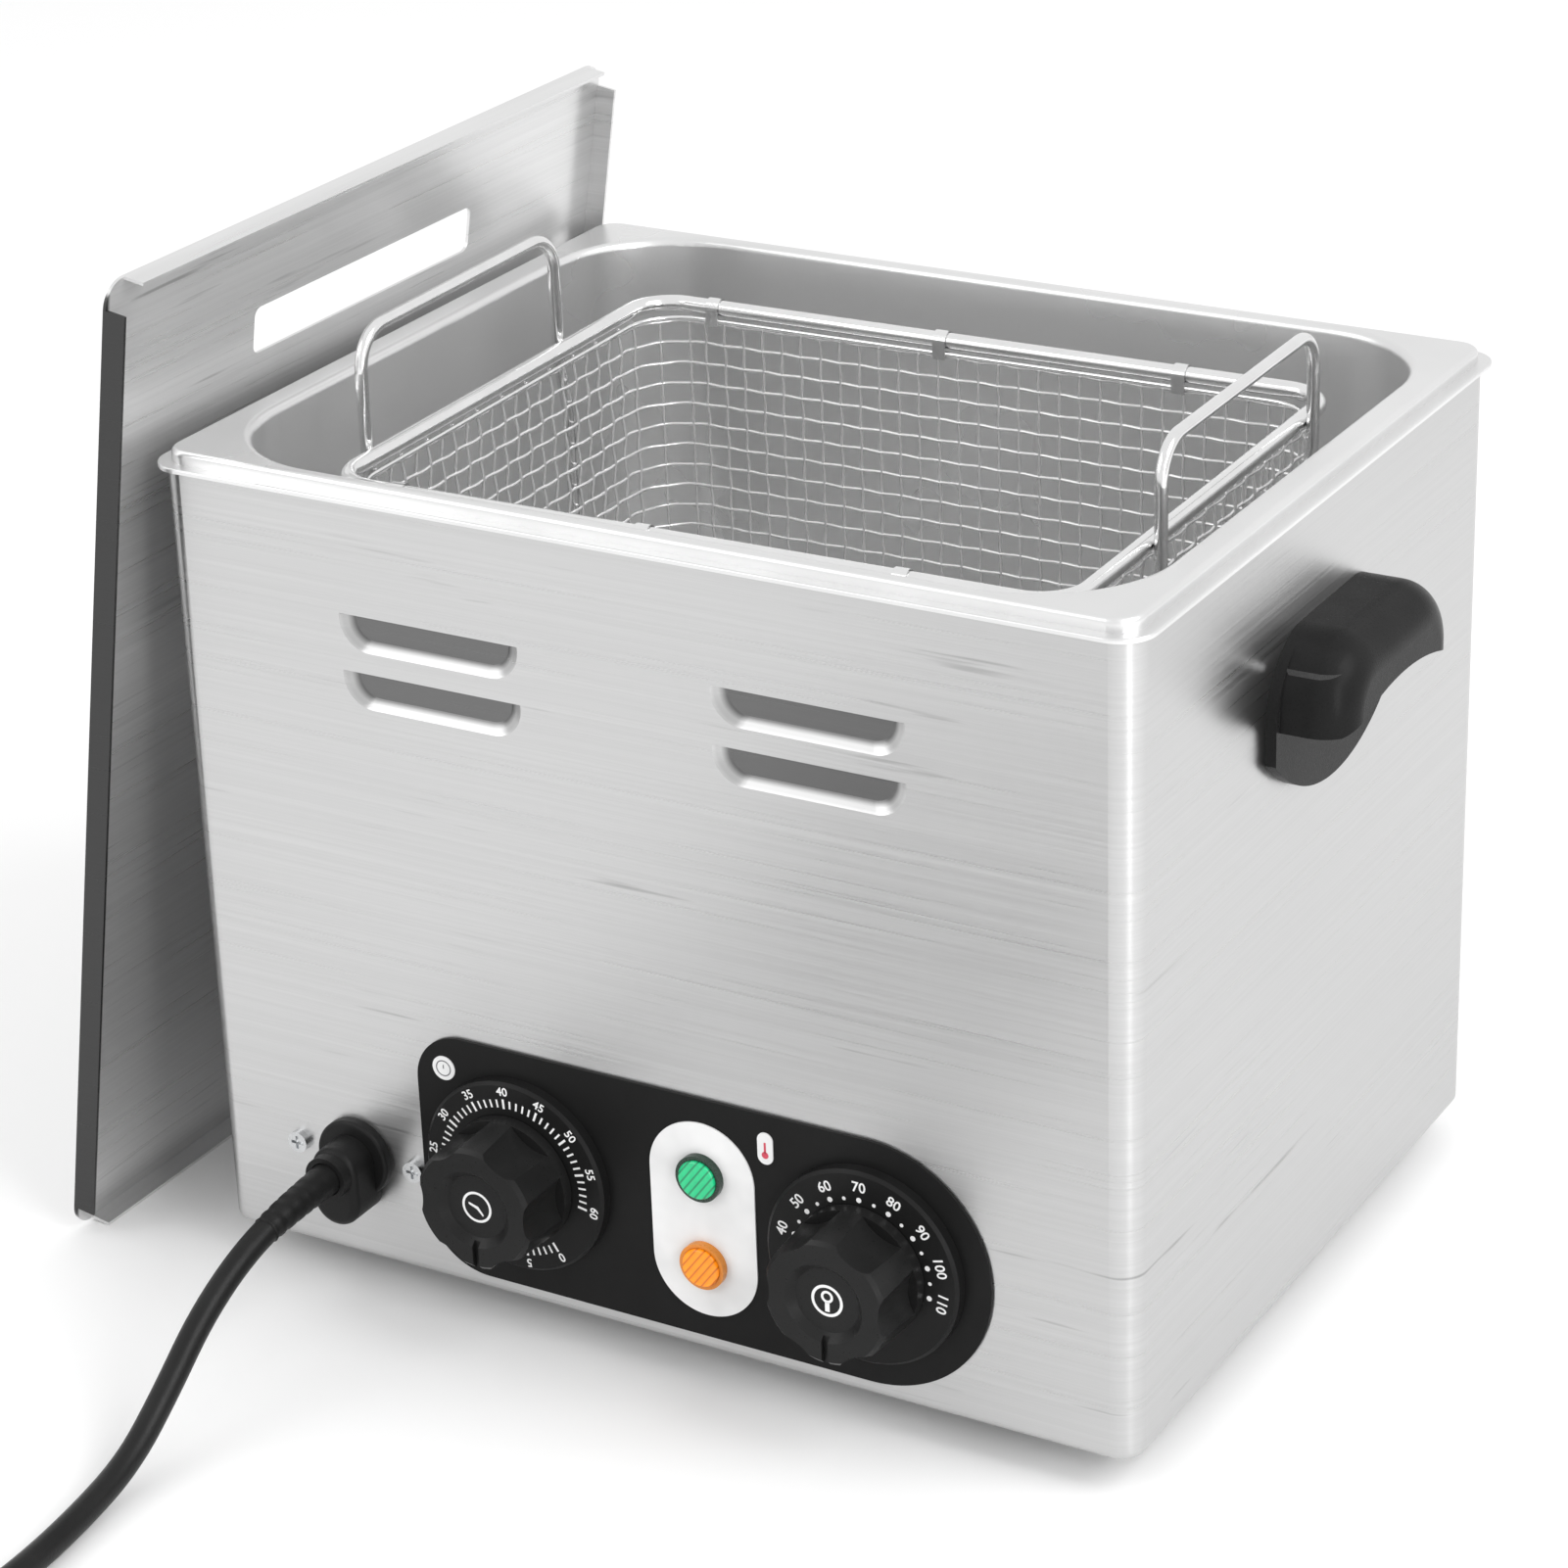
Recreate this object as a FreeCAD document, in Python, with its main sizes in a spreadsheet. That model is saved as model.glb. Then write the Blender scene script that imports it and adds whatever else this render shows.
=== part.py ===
"""Countertop egg boiler: a stainless tank in a folded casing, with controls, basket, lid and mains lead.

The document is in millimetres, +Z up. Its origin lies on the worktop, below the middle of the casing.
The front, with the controls and the cord inlet, faces -Y.
"""

import FreeCAD, Part

import math
import os

import Sketcher
from FreeCAD import Placement, Rotation, Vector

DIMENSIONS = (
    # casing: one folded sheet for front and sides, with a screwed back
    ("casing_wide", 322.0), ("casing_long", 253.0), ("casing_high", 257.0), ("sheet_thick", 1.0),
    ("bend_round", 8.0), ("flange_wide", 14.0), ("hem_round", 3.0), ("panel_fit", 0.3),
    # rubber feet
    ("foot_high", 12.0), ("foot_top_radius", 11.0), ("foot_base_radius", 9.5), ("foot_inset", 38.0),
    ("foot_recess_radius", 5.0), ("foot_recess_high", 5.0),
    # tank and deck, drawn from one sheet
    ("lip_over", 3.0), ("lip_thick", 1.4), ("deck_step", 5.5), ("deck_setback", 1.0), ("deck_round", 1.8),
    ("tank_side_ledge", 11.0), ("tank_end_ledge", 6.5), ("tank_depth", 150.0), ("tank_corner", 40.0),
    ("tank_floor_round", 15.0), ("tank_edge_round", 2.6),
    # louvres pressed into the front
    ("louvre_wide", 62.5), ("louvre_high", 11.5), ("louvre_depth", 2.4), ("louvre_slope", 3.2),
    ("louvre_end_slope", 4.5), ("louvre_corner", 10.0), ("louvre_left_x", -67.0), ("louvre_right_x", 60.0),
    ("louvre_drop", 65.7), ("louvre_pitch", 18.2),
    # control panel plate and what it carries
    ("plate_left", -81.6), ("plate_right", 116.0), ("plate_lift", 5.8), ("plate_high", 81.4),
    ("plate_thick", 1.0), ("plate_top_round", 16.5), ("plate_low_round", 22.0),
    ("dial_radius", 32.0), ("dial_thick", 4.3), ("dial_edge", 1.0), ("dial_bore", 5.2),
    ("timer_x", -45.5), ("thermostat_x", 75.3),
    ("label_x", 19.6), ("label_wide", 36.0), ("label_high", 65.5), ("label_thick", 0.5),
    ("badge_lift", 70.4), ("round_badge_x", -71.4), ("round_badge_radius", 4.0),
    ("pill_badge_x", 41.9), ("pill_badge_wide", 5.2), ("pill_badge_high", 10.5), ("badge_thick", 0.4),
    # indicator lamps
    ("lamp_pitch", 30.0), ("bezel_radius", 7.6), ("bezel_high", 2.4), ("bezel_wall", 1.2),
    ("lens_high", 1.4), ("lens_round", 1.0), ("lamp_body_radius", 5.5), ("lamp_body_long", 24.0),
    ("lamp_nut_radius", 8.0), ("lamp_nut_thick", 4.0),
    # knobs on their shafts
    ("knob_radius", 21.2), ("knob_front_radius", 20.3), ("knob_long", 22.0), ("knob_gap", 0.5),
    ("knob_dish_radius", 12.8), ("knob_dish_depth", 2.4), ("knob_edge", 1.2), ("skirt_high", 4.0),
    ("flute_radius", 15.0), ("flute_depth", 2.3), ("pointer_wide", 2.2), ("pointer_depth", 1.6),
    ("shaft_radius", 3.0), ("shaft_fit", 0.05), ("shaft_in_knob", 14.0), ("shaft_in_body", 16.0),
    ("shaft_flat", 1.5),
    # timer and thermostat behind the front sheet
    ("bushing_radius", 4.6), ("bushing_fit", 0.1), ("timer_body_wide", 46.0), ("timer_body_high", 50.0),
    ("timer_body_long", 42.0), ("thermostat_body_radius", 21.0), ("thermostat_body_long", 26.0),
    ("control_screw_gap", 28.0), ("control_screw_head", 2.8), ("control_screw_shank", 1.5),
    ("control_screw_long", 8.0),
    # cord inlet, its moulded boot and clamp
    ("inlet_x", -107.5), ("inlet_lift", 36.5), ("boot_flange_radius", 13.0), ("boot_flange_thick", 3.6),
    ("boot_radius", 8.4), ("boot_drop", 10.0), ("boot_long", 14.5), ("boot_round", 2.6),
    ("collar_radius", 7.3), ("collar_long", 18.0), ("collar_wall", 1.7), ("collar_recess", 3.0),
    ("inlet_tail_radius", 7.0), ("inlet_tail_long", 16.0),
    ("inlet_screw_gap", 43.6), ("inlet_clamp_high", 22.0), ("inlet_clamp_thick", 2.0),
    ("screw_head_radius", 3.5), ("screw_head_high", 2.2), ("screw_shank_radius", 2.0),
    ("screw_fit", 0.2), ("nut_radius", 4.0), ("nut_high", 3.2), ("cross_long", 4.4), ("cross_wide", 1.0),
    ("cross_deep", 1.2),
    # side handle
    ("handle_y", 2.5), ("handle_base_long", 86.4), ("handle_drop", 34.0), ("handle_side_high", 36.0),
    ("handle_high", 54.5), ("handle_base_thick", 3.5), ("handle_corner", 25.0), ("hood_long", 82.0),
    ("hood_out", 24.0), ("hood_high", 26.0), ("hood_arch", 7.0), ("hood_corner", 22.0), ("hood_round", 12.0),
    ("hood_wall", 4.0), ("hollow_corner", 8.0), ("handle_screw_gap", 50.0), ("handle_screw_drop", 20.0),
    # lid leaning on the deck's left edge
    ("lid_side_play", 2.4), ("lid_end_play", 4.1), ("lid_flange", 7.9), ("lid_thick", 1.0),
    ("lid_corner", 8.4), ("lid_lean", 9.06), ("lid_yaw", -0.48), ("lid_forward", 13.8),
    ("lid_gap", 0.3), ("lid_lift", 0.1),
    ("slot_long", 118.0), ("slot_wide", 15.4), ("slot_from_top", 38.6), ("slot_corner", 3.0),
    # wire basket
    ("basket_side_room", 28.5), ("basket_end_room", 25.0), ("basket_corner", 20.0), ("basket_floor_round", 10.0),
    ("mesh_thick", 1.6), ("mesh_rib", 3.0), ("rim_drop", 9.8), ("rim_wire", 5.5), ("band_high", 7.0),
    ("band_thick", 1.0),
    ("frame_wire", 4.0), ("frame_span", 111.0), ("frame_bend", 12.3), ("frame_shift", 12.5),
    ("grip_high", 31.0), ("grip_uneven", 3.4), ("grip_bend", 12.0), ("foot_bar_long", 34.0), ("basket_x", 2.4),
    ("basket_y", -2.6), ("basket_turn", 0.95), ("seat_gap", 0.3),
    # heater under the tank
    ("spreader_side_inset", 50.0), ("spreader_end_inset", 50.0), ("spreader_thick", 3.0),
    ("element_radius", 4.0), ("element_bend", 12.0), ("element_side_inset", 15.0),
    ("element_end_inset", 22.0),
    ("clamp_bar_wide", 14.0), ("clamp_bar_thick", 3.0), ("clamp_stud_radius", 2.5), ("clamp_fit", 0.3),
    ("clamp_nut_radius", 5.0), ("clamp_nut_high", 4.0), ("clamp_bar_inset", 40.0),
    ("cutout_radius", 8.0), ("cutout_high", 8.0),
    ("bulb_radius", 3.2), ("bulb_long", 90.0), ("bulb_offset", 18.0), ("bulb_clip_thick", 1.0),
    ("bulb_clip_wide", 8.0), ("capillary_radius", 1.0),
    # terminals on the base plate, leads
    ("terminal_side", 65.0), ("terminal_back", 86.5), ("terminal_wide", 62.0), ("terminal_long", 22.0),
    ("terminal_high", 20.0), ("terminal_screw_gap", 52.0), ("lead_radius", 1.4),
    ("earth_gap", 56.0), ("earth_back", 66.5), ("earth_radius", 2.5), ("earth_long", 14.0),
    # mains cord, its stored coil, tie and plug
    ("cord_radius", 4.2), ("coil_x", -52.0), ("coil_y", -405.0), ("coil_turn_radius", 48.0),
    ("coil_layers", 2.0), ("coil_strands", 3.0), ("tie_thick", 1.0), ("tie_wide", 8.0), ("plug_lead", 21.6),
    ("plug_wide", 38.0), ("plug_long", 36.0), ("plug_thick", 26.0), ("plug_corner", 8.0),
    ("plug_neck_long", 28.0), ("plug_neck_radius", 6.0), ("pin_wide", 6.3), ("pin_thick", 1.6),
    ("pin_long", 19.0), ("pin_spread", 13.8), ("pin_tilt", 30.0),
)

FLUTES = 6
MESH_COLUMNS = 8
MESH_ROWS = 4
MESH_LANES = 6
CROSS_POINTS = (0.0, 90.0)

doc = FreeCAD.newDocument("egg_boiler")
sheet = doc.addObject("Spreadsheet::Sheet", "dims")
for row, (alias, millimetres) in enumerate(DIMENSIONS, start=1):
    sheet.set(f"A{row}", alias)
    sheet.set(f"B{row}", str(millimetres))
    sheet.setAlias(f"B{row}", alias)
doc.recompute()


class Size:
    """A size worked out from the sheet: the expression that FreeCAD keeps, and its value."""

    def __init__(self, text, value):
        self.text = text
        self.value = value

    @staticmethod
    def of(other):
        return other if isinstance(other, Size) else Size(repr(float(other)), float(other))

    def __add__(self, other):
        other = Size.of(other)
        return Size(f"({self.text} + {other.text})", self.value + other.value)

    def __sub__(self, other):
        other = Size.of(other)
        return Size(f"({self.text} - {other.text})", self.value - other.value)

    def __mul__(self, other):
        other = Size.of(other)
        return Size(f"({self.text} * {other.text})", self.value * other.value)

    def __truediv__(self, other):
        other = Size.of(other)
        return Size(f"({self.text} / {other.text})", self.value / other.value)

    def __radd__(self, other):
        return Size.of(other) + self

    def __rsub__(self, other):
        return Size.of(other) - self

    def __rmul__(self, other):
        return Size.of(other) * self

    def __neg__(self):
        return self * -1.0

    def __float__(self):
        return self.value


class Sizes:
    """Every alias of the sheet as an attribute."""

    def __init__(self):
        for alias, _ in DIMENSIONS:
            setattr(self, alias, Size(f"dims.{alias}", float(sheet.get(alias))))


D = Sizes()
PARTS = []

# levels and faces that several pieces share
CASING_TOP = D.foot_high + D.casing_high
DECK_TOP = CASING_TOP + D.deck_step
TANK_FLOOR = DECK_TOP - D.tank_depth
TANK_UNDER = TANK_FLOOR - D.sheet_thick
BASE_LOW = D.foot_high + D.sheet_thick
BASE_TOP = BASE_LOW + D.sheet_thick
FRONT = -(D.casing_long / 2)
FRONT_INSIDE = FRONT + D.sheet_thick
BACK = D.casing_long / 2
SIDE = D.casing_wide / 2
PLATE_FACE = FRONT - D.plate_thick
DIAL_FACE = PLATE_FACE - D.dial_thick
LABEL_FACE = PLATE_FACE - D.label_thick
PLATE_LOW = D.foot_high + D.plate_lift
CONTROL_Z = PLATE_LOW + D.plate_high / 2
BADGE_Z = PLATE_LOW + D.badge_lift
INLET_Z = D.foot_high + D.inlet_lift
LOUVRE_LOW = CASING_TOP - D.louvre_drop
HANDLE_TOP = CASING_TOP - D.handle_drop
HANDLE_SHOULDER = HANDLE_TOP - D.handle_side_high
HANDLE_LOW = HANDLE_TOP - D.handle_high
HANDLE_SCREW_Z = HANDLE_TOP - D.handle_screw_drop
HOOD_LOW = HANDLE_TOP - D.hood_high
TANK_WIDE = D.casing_wide - 2 * D.tank_side_ledge
TANK_LONG = D.casing_long - 2 * D.tank_end_ledge
BASKET_WIDE = TANK_WIDE - 2 * D.basket_side_room
BASKET_LONG = TANK_LONG - 2 * D.basket_end_room
RIM_TOP = DECK_TOP - D.rim_drop
LID_LONG = D.casing_wide + 2 * D.lip_over + 2 * D.lid_side_play
LID_WIDE = D.casing_long + 2 * D.lip_over + 2 * D.lid_end_play
LID_FRONT = FRONT - D.lid_forward
SPREADER_LOW = TANK_UNDER - D.spreader_thick
SPREADER_WIDE = TANK_WIDE - 2 * D.spreader_side_inset
SPREADER_LONG = TANK_LONG - 2 * D.spreader_end_inset
ELEMENT_LEGS = SPREADER_WIDE - 2 * D.element_side_inset
ELEMENT_PITCH = SPREADER_LONG - 2 * D.element_end_inset
CLAMP_BAR_X = SPREADER_WIDE / 2 - D.clamp_bar_inset
BULB_Y = -(SPREADER_LONG / 2) - D.bulb_offset
TERMINAL_X = D.terminal_side - SIDE
TERMINAL_Y = FRONT + D.terminal_back
EARTH_X = TERMINAL_X + D.earth_gap
EARTH_Y = FRONT + D.earth_back


# ---- document helpers ---------------------------------------------------------------------------

def bind(thing, sizes):
    """Set properties from sizes, each as an expression that FreeCAD keeps."""
    for prop, size in sizes.items():
        thing.setExpression(prop, Size.of(size).text)


def put(thing, x, y, z, turn=None):
    """Place an object by its base point, with an optional turn."""
    if turn is not None:
        thing.Placement = Placement(Vector(), turn)
    bind(thing, {"Placement.Base.x": x, "Placement.Base.y": y, "Placement.Base.z": z})
    return thing


TO_X = Rotation(Vector(0, 1, 0), 90)
TO_BACK = Rotation(Vector(1, 0, 0), -90)
TO_FRONT = Rotation(Vector(1, 0, 0), 90)


def block(name, size, corner):
    """A Part::Box from its three sizes and its lowest corner."""
    box = doc.addObject("Part::Box", name)
    bind(box, dict(zip(("Length", "Width", "Height"), size)))
    return put(box, *corner)


def rod(name, radius, length, at, turn=None):
    """A Part::Cylinder from the middle of one end, along +Z unless turned."""
    cylinder = doc.addObject("Part::Cylinder", name)
    bind(cylinder, {"Radius": radius, "Height": length})
    return put(cylinder, *at, turn)


def hexagon(name, radius, height, at, turn=None):
    """A Part::Prism with six sides, for a nut."""
    prism = doc.addObject("Part::Prism", name)
    prism.Polygon = 6
    bind(prism, {"Circumradius": radius, "Height": height})
    return put(prism, *at, turn)


def cut(name, base, *tools):
    """Base less its tools."""
    tool = tools[0] if len(tools) == 1 else group(f"{name}_tools", tools)
    result = doc.addObject("Part::Cut", name)
    result.Base = base
    result.Tool = tool
    return result


def fuse(name, *shapes):
    """Several shapes as one solid."""
    result = doc.addObject("Part::MultiFuse", name)
    result.Shapes = list(shapes)
    return result


def group(name, members):
    """Separate solids kept together under one name."""
    result = doc.addObject("Part::Compound", name)
    result.Links = list(members)
    return result


def feature(name, shape):
    """A Part::Feature that holds a shape made from the sheet's sizes."""
    result = doc.addObject("Part::Feature", name)
    result.Shape = shape
    return result


def piece(thing, label):
    """Register a finished sub-part under the name of its file."""
    thing.Label = label
    PARTS.append(thing)
    return thing


def new_body(label):
    """An empty PartDesign body."""
    body = doc.addObject("PartDesign::Body", f"{label}_body")
    doc.recompute()
    return body


def new_sketch(body, plane, offset=0.0):
    """A sketch on one of the body's own origin planes, moved along the plane's normal."""
    sketch = body.newObject("Sketcher::SketchObject", f"{body.Name}_sketch")
    support = [item for item in body.Origin.OriginFeatures if item.Role == plane][0]
    sketch.AttachmentSupport = [(support, "")]
    sketch.MapMode = "FlatFace"
    bind(sketch, {"AttachmentOffset.Base.z": offset})
    return sketch


def pin_down(sketch, kind, element, end, size, name):
    """Fix one coordinate of a point, by an axis when it is zero."""
    if float(size) == 0.0:
        axis = -2 if kind == "DistanceX" else -1
        sketch.addConstraint(Sketcher.Constraint("PointOnObject", element, end, axis))
        return
    index = sketch.addConstraint(Sketcher.Constraint(kind, element, end, float(size)))
    sketch.renameConstraint(index, name)
    bind(sketch, {f"Constraints.{name}": size})


def draw_circle(sketch, x, y, radius):
    """A circle with its middle and radius bound."""
    count = sketch.GeometryCount
    element = sketch.addGeometry(Part.Circle(Vector(float(x), float(y), 0), Vector(0, 0, 1), float(radius)))
    pin_down(sketch, "DistanceX", element, 3, x, f"middle_x_{count}")
    pin_down(sketch, "DistanceY", element, 3, y, f"middle_y_{count}")
    index = sketch.addConstraint(Sketcher.Constraint("Radius", element, float(radius)))
    sketch.renameConstraint(index, f"radius_{count}")
    bind(sketch, {f"Constraints.radius_{count}": radius})


def draw_polygon(sketch, points):
    """A closed outline of straight lines, each corner bound by its coordinates."""
    count = sketch.GeometryCount
    places = [Vector(float(x), float(y), 0) for x, y in points]
    for start, end in zip(places, places[1:] + places[:1]):
        sketch.addGeometry(Part.LineSegment(start, end))
    total = len(points)
    for number in range(total):
        follower = count + (number + 1) % total
        sketch.addConstraint(Sketcher.Constraint("Coincident", count + number, 2, follower, 1))
    for number, (x, y) in enumerate(points):
        pin_down(sketch, "DistanceX", count + number, 1, x, f"x_{count + number}")
        pin_down(sketch, "DistanceY", count + number, 1, y, f"y_{count + number}")


def draw_rounded(sketch, left, right, low, high, radii):
    """A rectangle with round corners; radii run from the low left corner anticlockwise."""
    count = sketch.GeometryCount
    x0, x1, y0, y1 = (float(value) for value in (left, right, low, high))
    r = [float(radius) for radius in radii]
    lines = (
        ((x0 + r[0], y0), (x1 - r[1], y0)), ((x1, y0 + r[1]), (x1, y1 - r[2])),
        ((x1 - r[2], y1), (x0 + r[3], y1)), ((x0, y1 - r[3]), (x0, y0 + r[0])),
    )
    centres = ((x0 + r[0], y0 + r[0]), (x1 - r[1], y0 + r[1]), (x1 - r[2], y1 - r[2]), (x0 + r[3], y1 - r[3]))
    for start, end in lines:
        sketch.addGeometry(Part.LineSegment(Vector(*start, 0), Vector(*end, 0)))
    for corner, (x, y) in enumerate(centres):
        circle = Part.Circle(Vector(x, y, 0), Vector(0, 0, 1), r[corner])
        begin = math.pi + corner * math.pi / 2
        sketch.addGeometry(Part.ArcOfCircle(circle, begin, begin + math.pi / 2))
    for corner in range(4):
        arc = count + 4 + corner
        before = count + (corner - 1) % 4
        after = count + corner
        sketch.addConstraint(Sketcher.Constraint("Tangent", before, 2, arc, 1))
        sketch.addConstraint(Sketcher.Constraint("Tangent", arc, 2, after, 1))
        index = sketch.addConstraint(Sketcher.Constraint("Radius", arc, r[corner]))
        sketch.renameConstraint(index, f"corner_{arc}")
        bind(sketch, {f"Constraints.corner_{arc}": radii[corner]})
    sketch.addConstraint(Sketcher.Constraint("Horizontal", count))
    sketch.addConstraint(Sketcher.Constraint("Vertical", count + 1))
    pin_down(sketch, "DistanceX", count + 1, 1, right, f"right_{count}")
    pin_down(sketch, "DistanceX", count + 3, 1, left, f"left_{count}")
    pin_down(sketch, "DistanceY", count, 1, low, f"low_{count}")
    pin_down(sketch, "DistanceY", count + 2, 1, high, f"high_{count}")


def draw_centred(sketch, wide, high, radius, x=0.0, y=0.0):
    """A rounded rectangle about a middle point."""
    draw_rounded(sketch, x - wide / 2, x + wide / 2, y - high / 2, y + high / 2, [radius] * 4)


def pad(body, sketch, length, reverse=False):
    """Add material along the sketch's normal."""
    result = body.newObject("PartDesign::Pad", f"{body.Name}_pad")
    result.Profile = sketch
    result.Reversed = reverse
    bind(result, {"Length": length})
    return result


def pocket(body, sketch, length, reverse=False):
    """Remove material against the sketch's normal."""
    result = body.newObject("PartDesign::Pocket", f"{body.Name}_pocket")
    result.Profile = sketch
    result.Reversed = reverse
    bind(result, {"Length": length})
    return result


def remove_rod(body, radius, length, at, turn=None):
    """Remove a cylinder from a body."""
    result = body.newObject("PartDesign::SubtractiveCylinder", f"{body.Name}_bore")
    bind(result, {"Radius": radius, "Height": length})
    return put(result, *at, turn)


def remove_block(body, size, corner):
    """Remove a box from a body."""
    result = body.newObject("PartDesign::SubtractiveBox", f"{body.Name}_gap")
    bind(result, dict(zip(("Length", "Width", "Height"), size)))
    return put(result, *corner)


def add_rod(body, radius, length, at, turn=None):
    """Add a cylinder to a body."""
    result = body.newObject("PartDesign::AdditiveCylinder", f"{body.Name}_boss")
    bind(result, {"Radius": radius, "Height": length})
    return put(result, *at, turn)


def add_block(body, size, corner):
    """Add a box to a body."""
    result = body.newObject("PartDesign::AdditiveBox", f"{body.Name}_bar")
    bind(result, dict(zip(("Length", "Width", "Height"), size)))
    return put(result, *corner)


def round_edges(body, radius, wanted):
    """Fillet the edges of the body so far that the test picks by their box and middle."""
    doc.recompute()
    tip = body.Tip
    names = []
    for number, edge in enumerate(tip.Shape.Edges, start=1):
        if wanted(edge.BoundBox):
            names.append(f"Edge{number}")
    result = body.newObject("PartDesign::Fillet", f"{body.Name}_round")
    result.Base = (tip, names)
    bind(result, {"Radius": radius})
    doc.recompute()
    return result


def flat_at(level, inside_wide, inside_long, outside_wide, outside_long, y=0.0):
    """A test for edges at one height that lie between two rectangles about the middle."""
    near = 0.01

    def wanted(box):
        reach_x = max(abs(box.XMin), abs(box.XMax))
        reach_y = max(abs(box.YMin - float(y)), abs(box.YMax - float(y)))
        level_ok = abs(box.ZMin - float(level)) < near and abs(box.ZMax - float(level)) < near
        outside = reach_x > float(inside_wide) / 2 - near or reach_y > float(inside_long) / 2 - near
        inside = reach_x < float(outside_wide) / 2 + near and reach_y < float(outside_long) / 2 + near
        return level_ok and outside and inside

    return wanted


def ring_at(level, wide, long, y=0.0):
    """A test for the edges of one rounded rectangle at one height."""
    return flat_at(level, wide, long, wide, long, y)


def screw(name, head, head_high, shank, shank_long, at, turn):
    """A cross-headed screw: its seat at the given point, its shank along the turned +Z."""
    axis = turn.multVec(Vector(0, 0, 1))
    head_base = [at[i] - head_high * axis[i] for i in range(3)]
    parts = fuse(
        f"{name}_blank", rod(f"{name}_head", head, head_high, head_base, turn),
        rod(f"{name}_shank", shank, shank_long, at, turn))
    slots = []
    for number, angle in enumerate(CROSS_POINTS):
        slot = doc.addObject("Part::Box", f"{name}_cross{number}")
        bind(slot, {"Length": D.cross_long, "Width": D.cross_wide, "Height": D.cross_deep})
        spin = turn.multiply(Rotation(Vector(0, 0, 1), angle))
        corner = spin.multVec(Vector(float(D.cross_long) / 2, float(D.cross_wide) / 2, 0))
        put(slot, *[head_base[i] - corner[i] for i in range(3)], spin)
        slots.append(slot)
    return cut(name, parts, *slots)


# ---- tubes along a route ------------------------------------------------------------------------

def route_wire(points, bend=None, share=0.45):
    """Straight runs joined by tangent arcs; an arc takes its share of the shorter run, or one bend radius."""
    edges = []
    radii = []
    start = points[0]
    for before, corner, after in zip(points, points[1:], points[2:]):
        back = before - corner
        ahead = after - corner
        half_turn = (math.pi - back.getAngle(ahead)) / 2
        if bend is None:
            radius = share * min(back.Length, ahead.Length) / math.tan(half_turn)
        else:
            radius = bend
        reach = radius * math.tan(half_turn)
        back.normalize()
        ahead.normalize()
        first = corner + back * reach
        last = corner + ahead * reach
        inward = back + ahead
        inward.normalize()
        middle = corner + inward * (radius / math.cos(half_turn) - radius)
        edges.append(Part.LineSegment(start, first).toShape())
        edges.append(Part.Arc(first, middle, last).toShape())
        radii.append(radius)
        start = last
    edges.append(Part.LineSegment(start, points[-1]).toShape())
    return Part.Wire(edges), radii


def tube(points, radius, bend=None):
    """A round solid along a route."""
    wire, radii = route_wire(points, bend)
    heading = points[1] - points[0]
    heading.normalize()
    section = Part.Face(Part.Wire(Part.Circle(points[0], heading, radius).toShape()))
    solid = wire.makePipe(section)
    if solid.ShapeType != "Solid":
        solid = solid.Solids[0]
    ideal = math.pi * radius ** 2 * wire.Length
    print(f"tube {radius:.1f}: length {wire.Length:.1f}, volume share {solid.Volume / ideal:.4f},"
          f" radii {[round(value, 1) for value in radii]}")
    return solid


def vectors(points):
    """Points of plain numbers or sizes as vectors."""
    return [Vector(*[float(value) for value in point]) for point in points]


# ---- casing -------------------------------------------------------------------------------------

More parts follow.
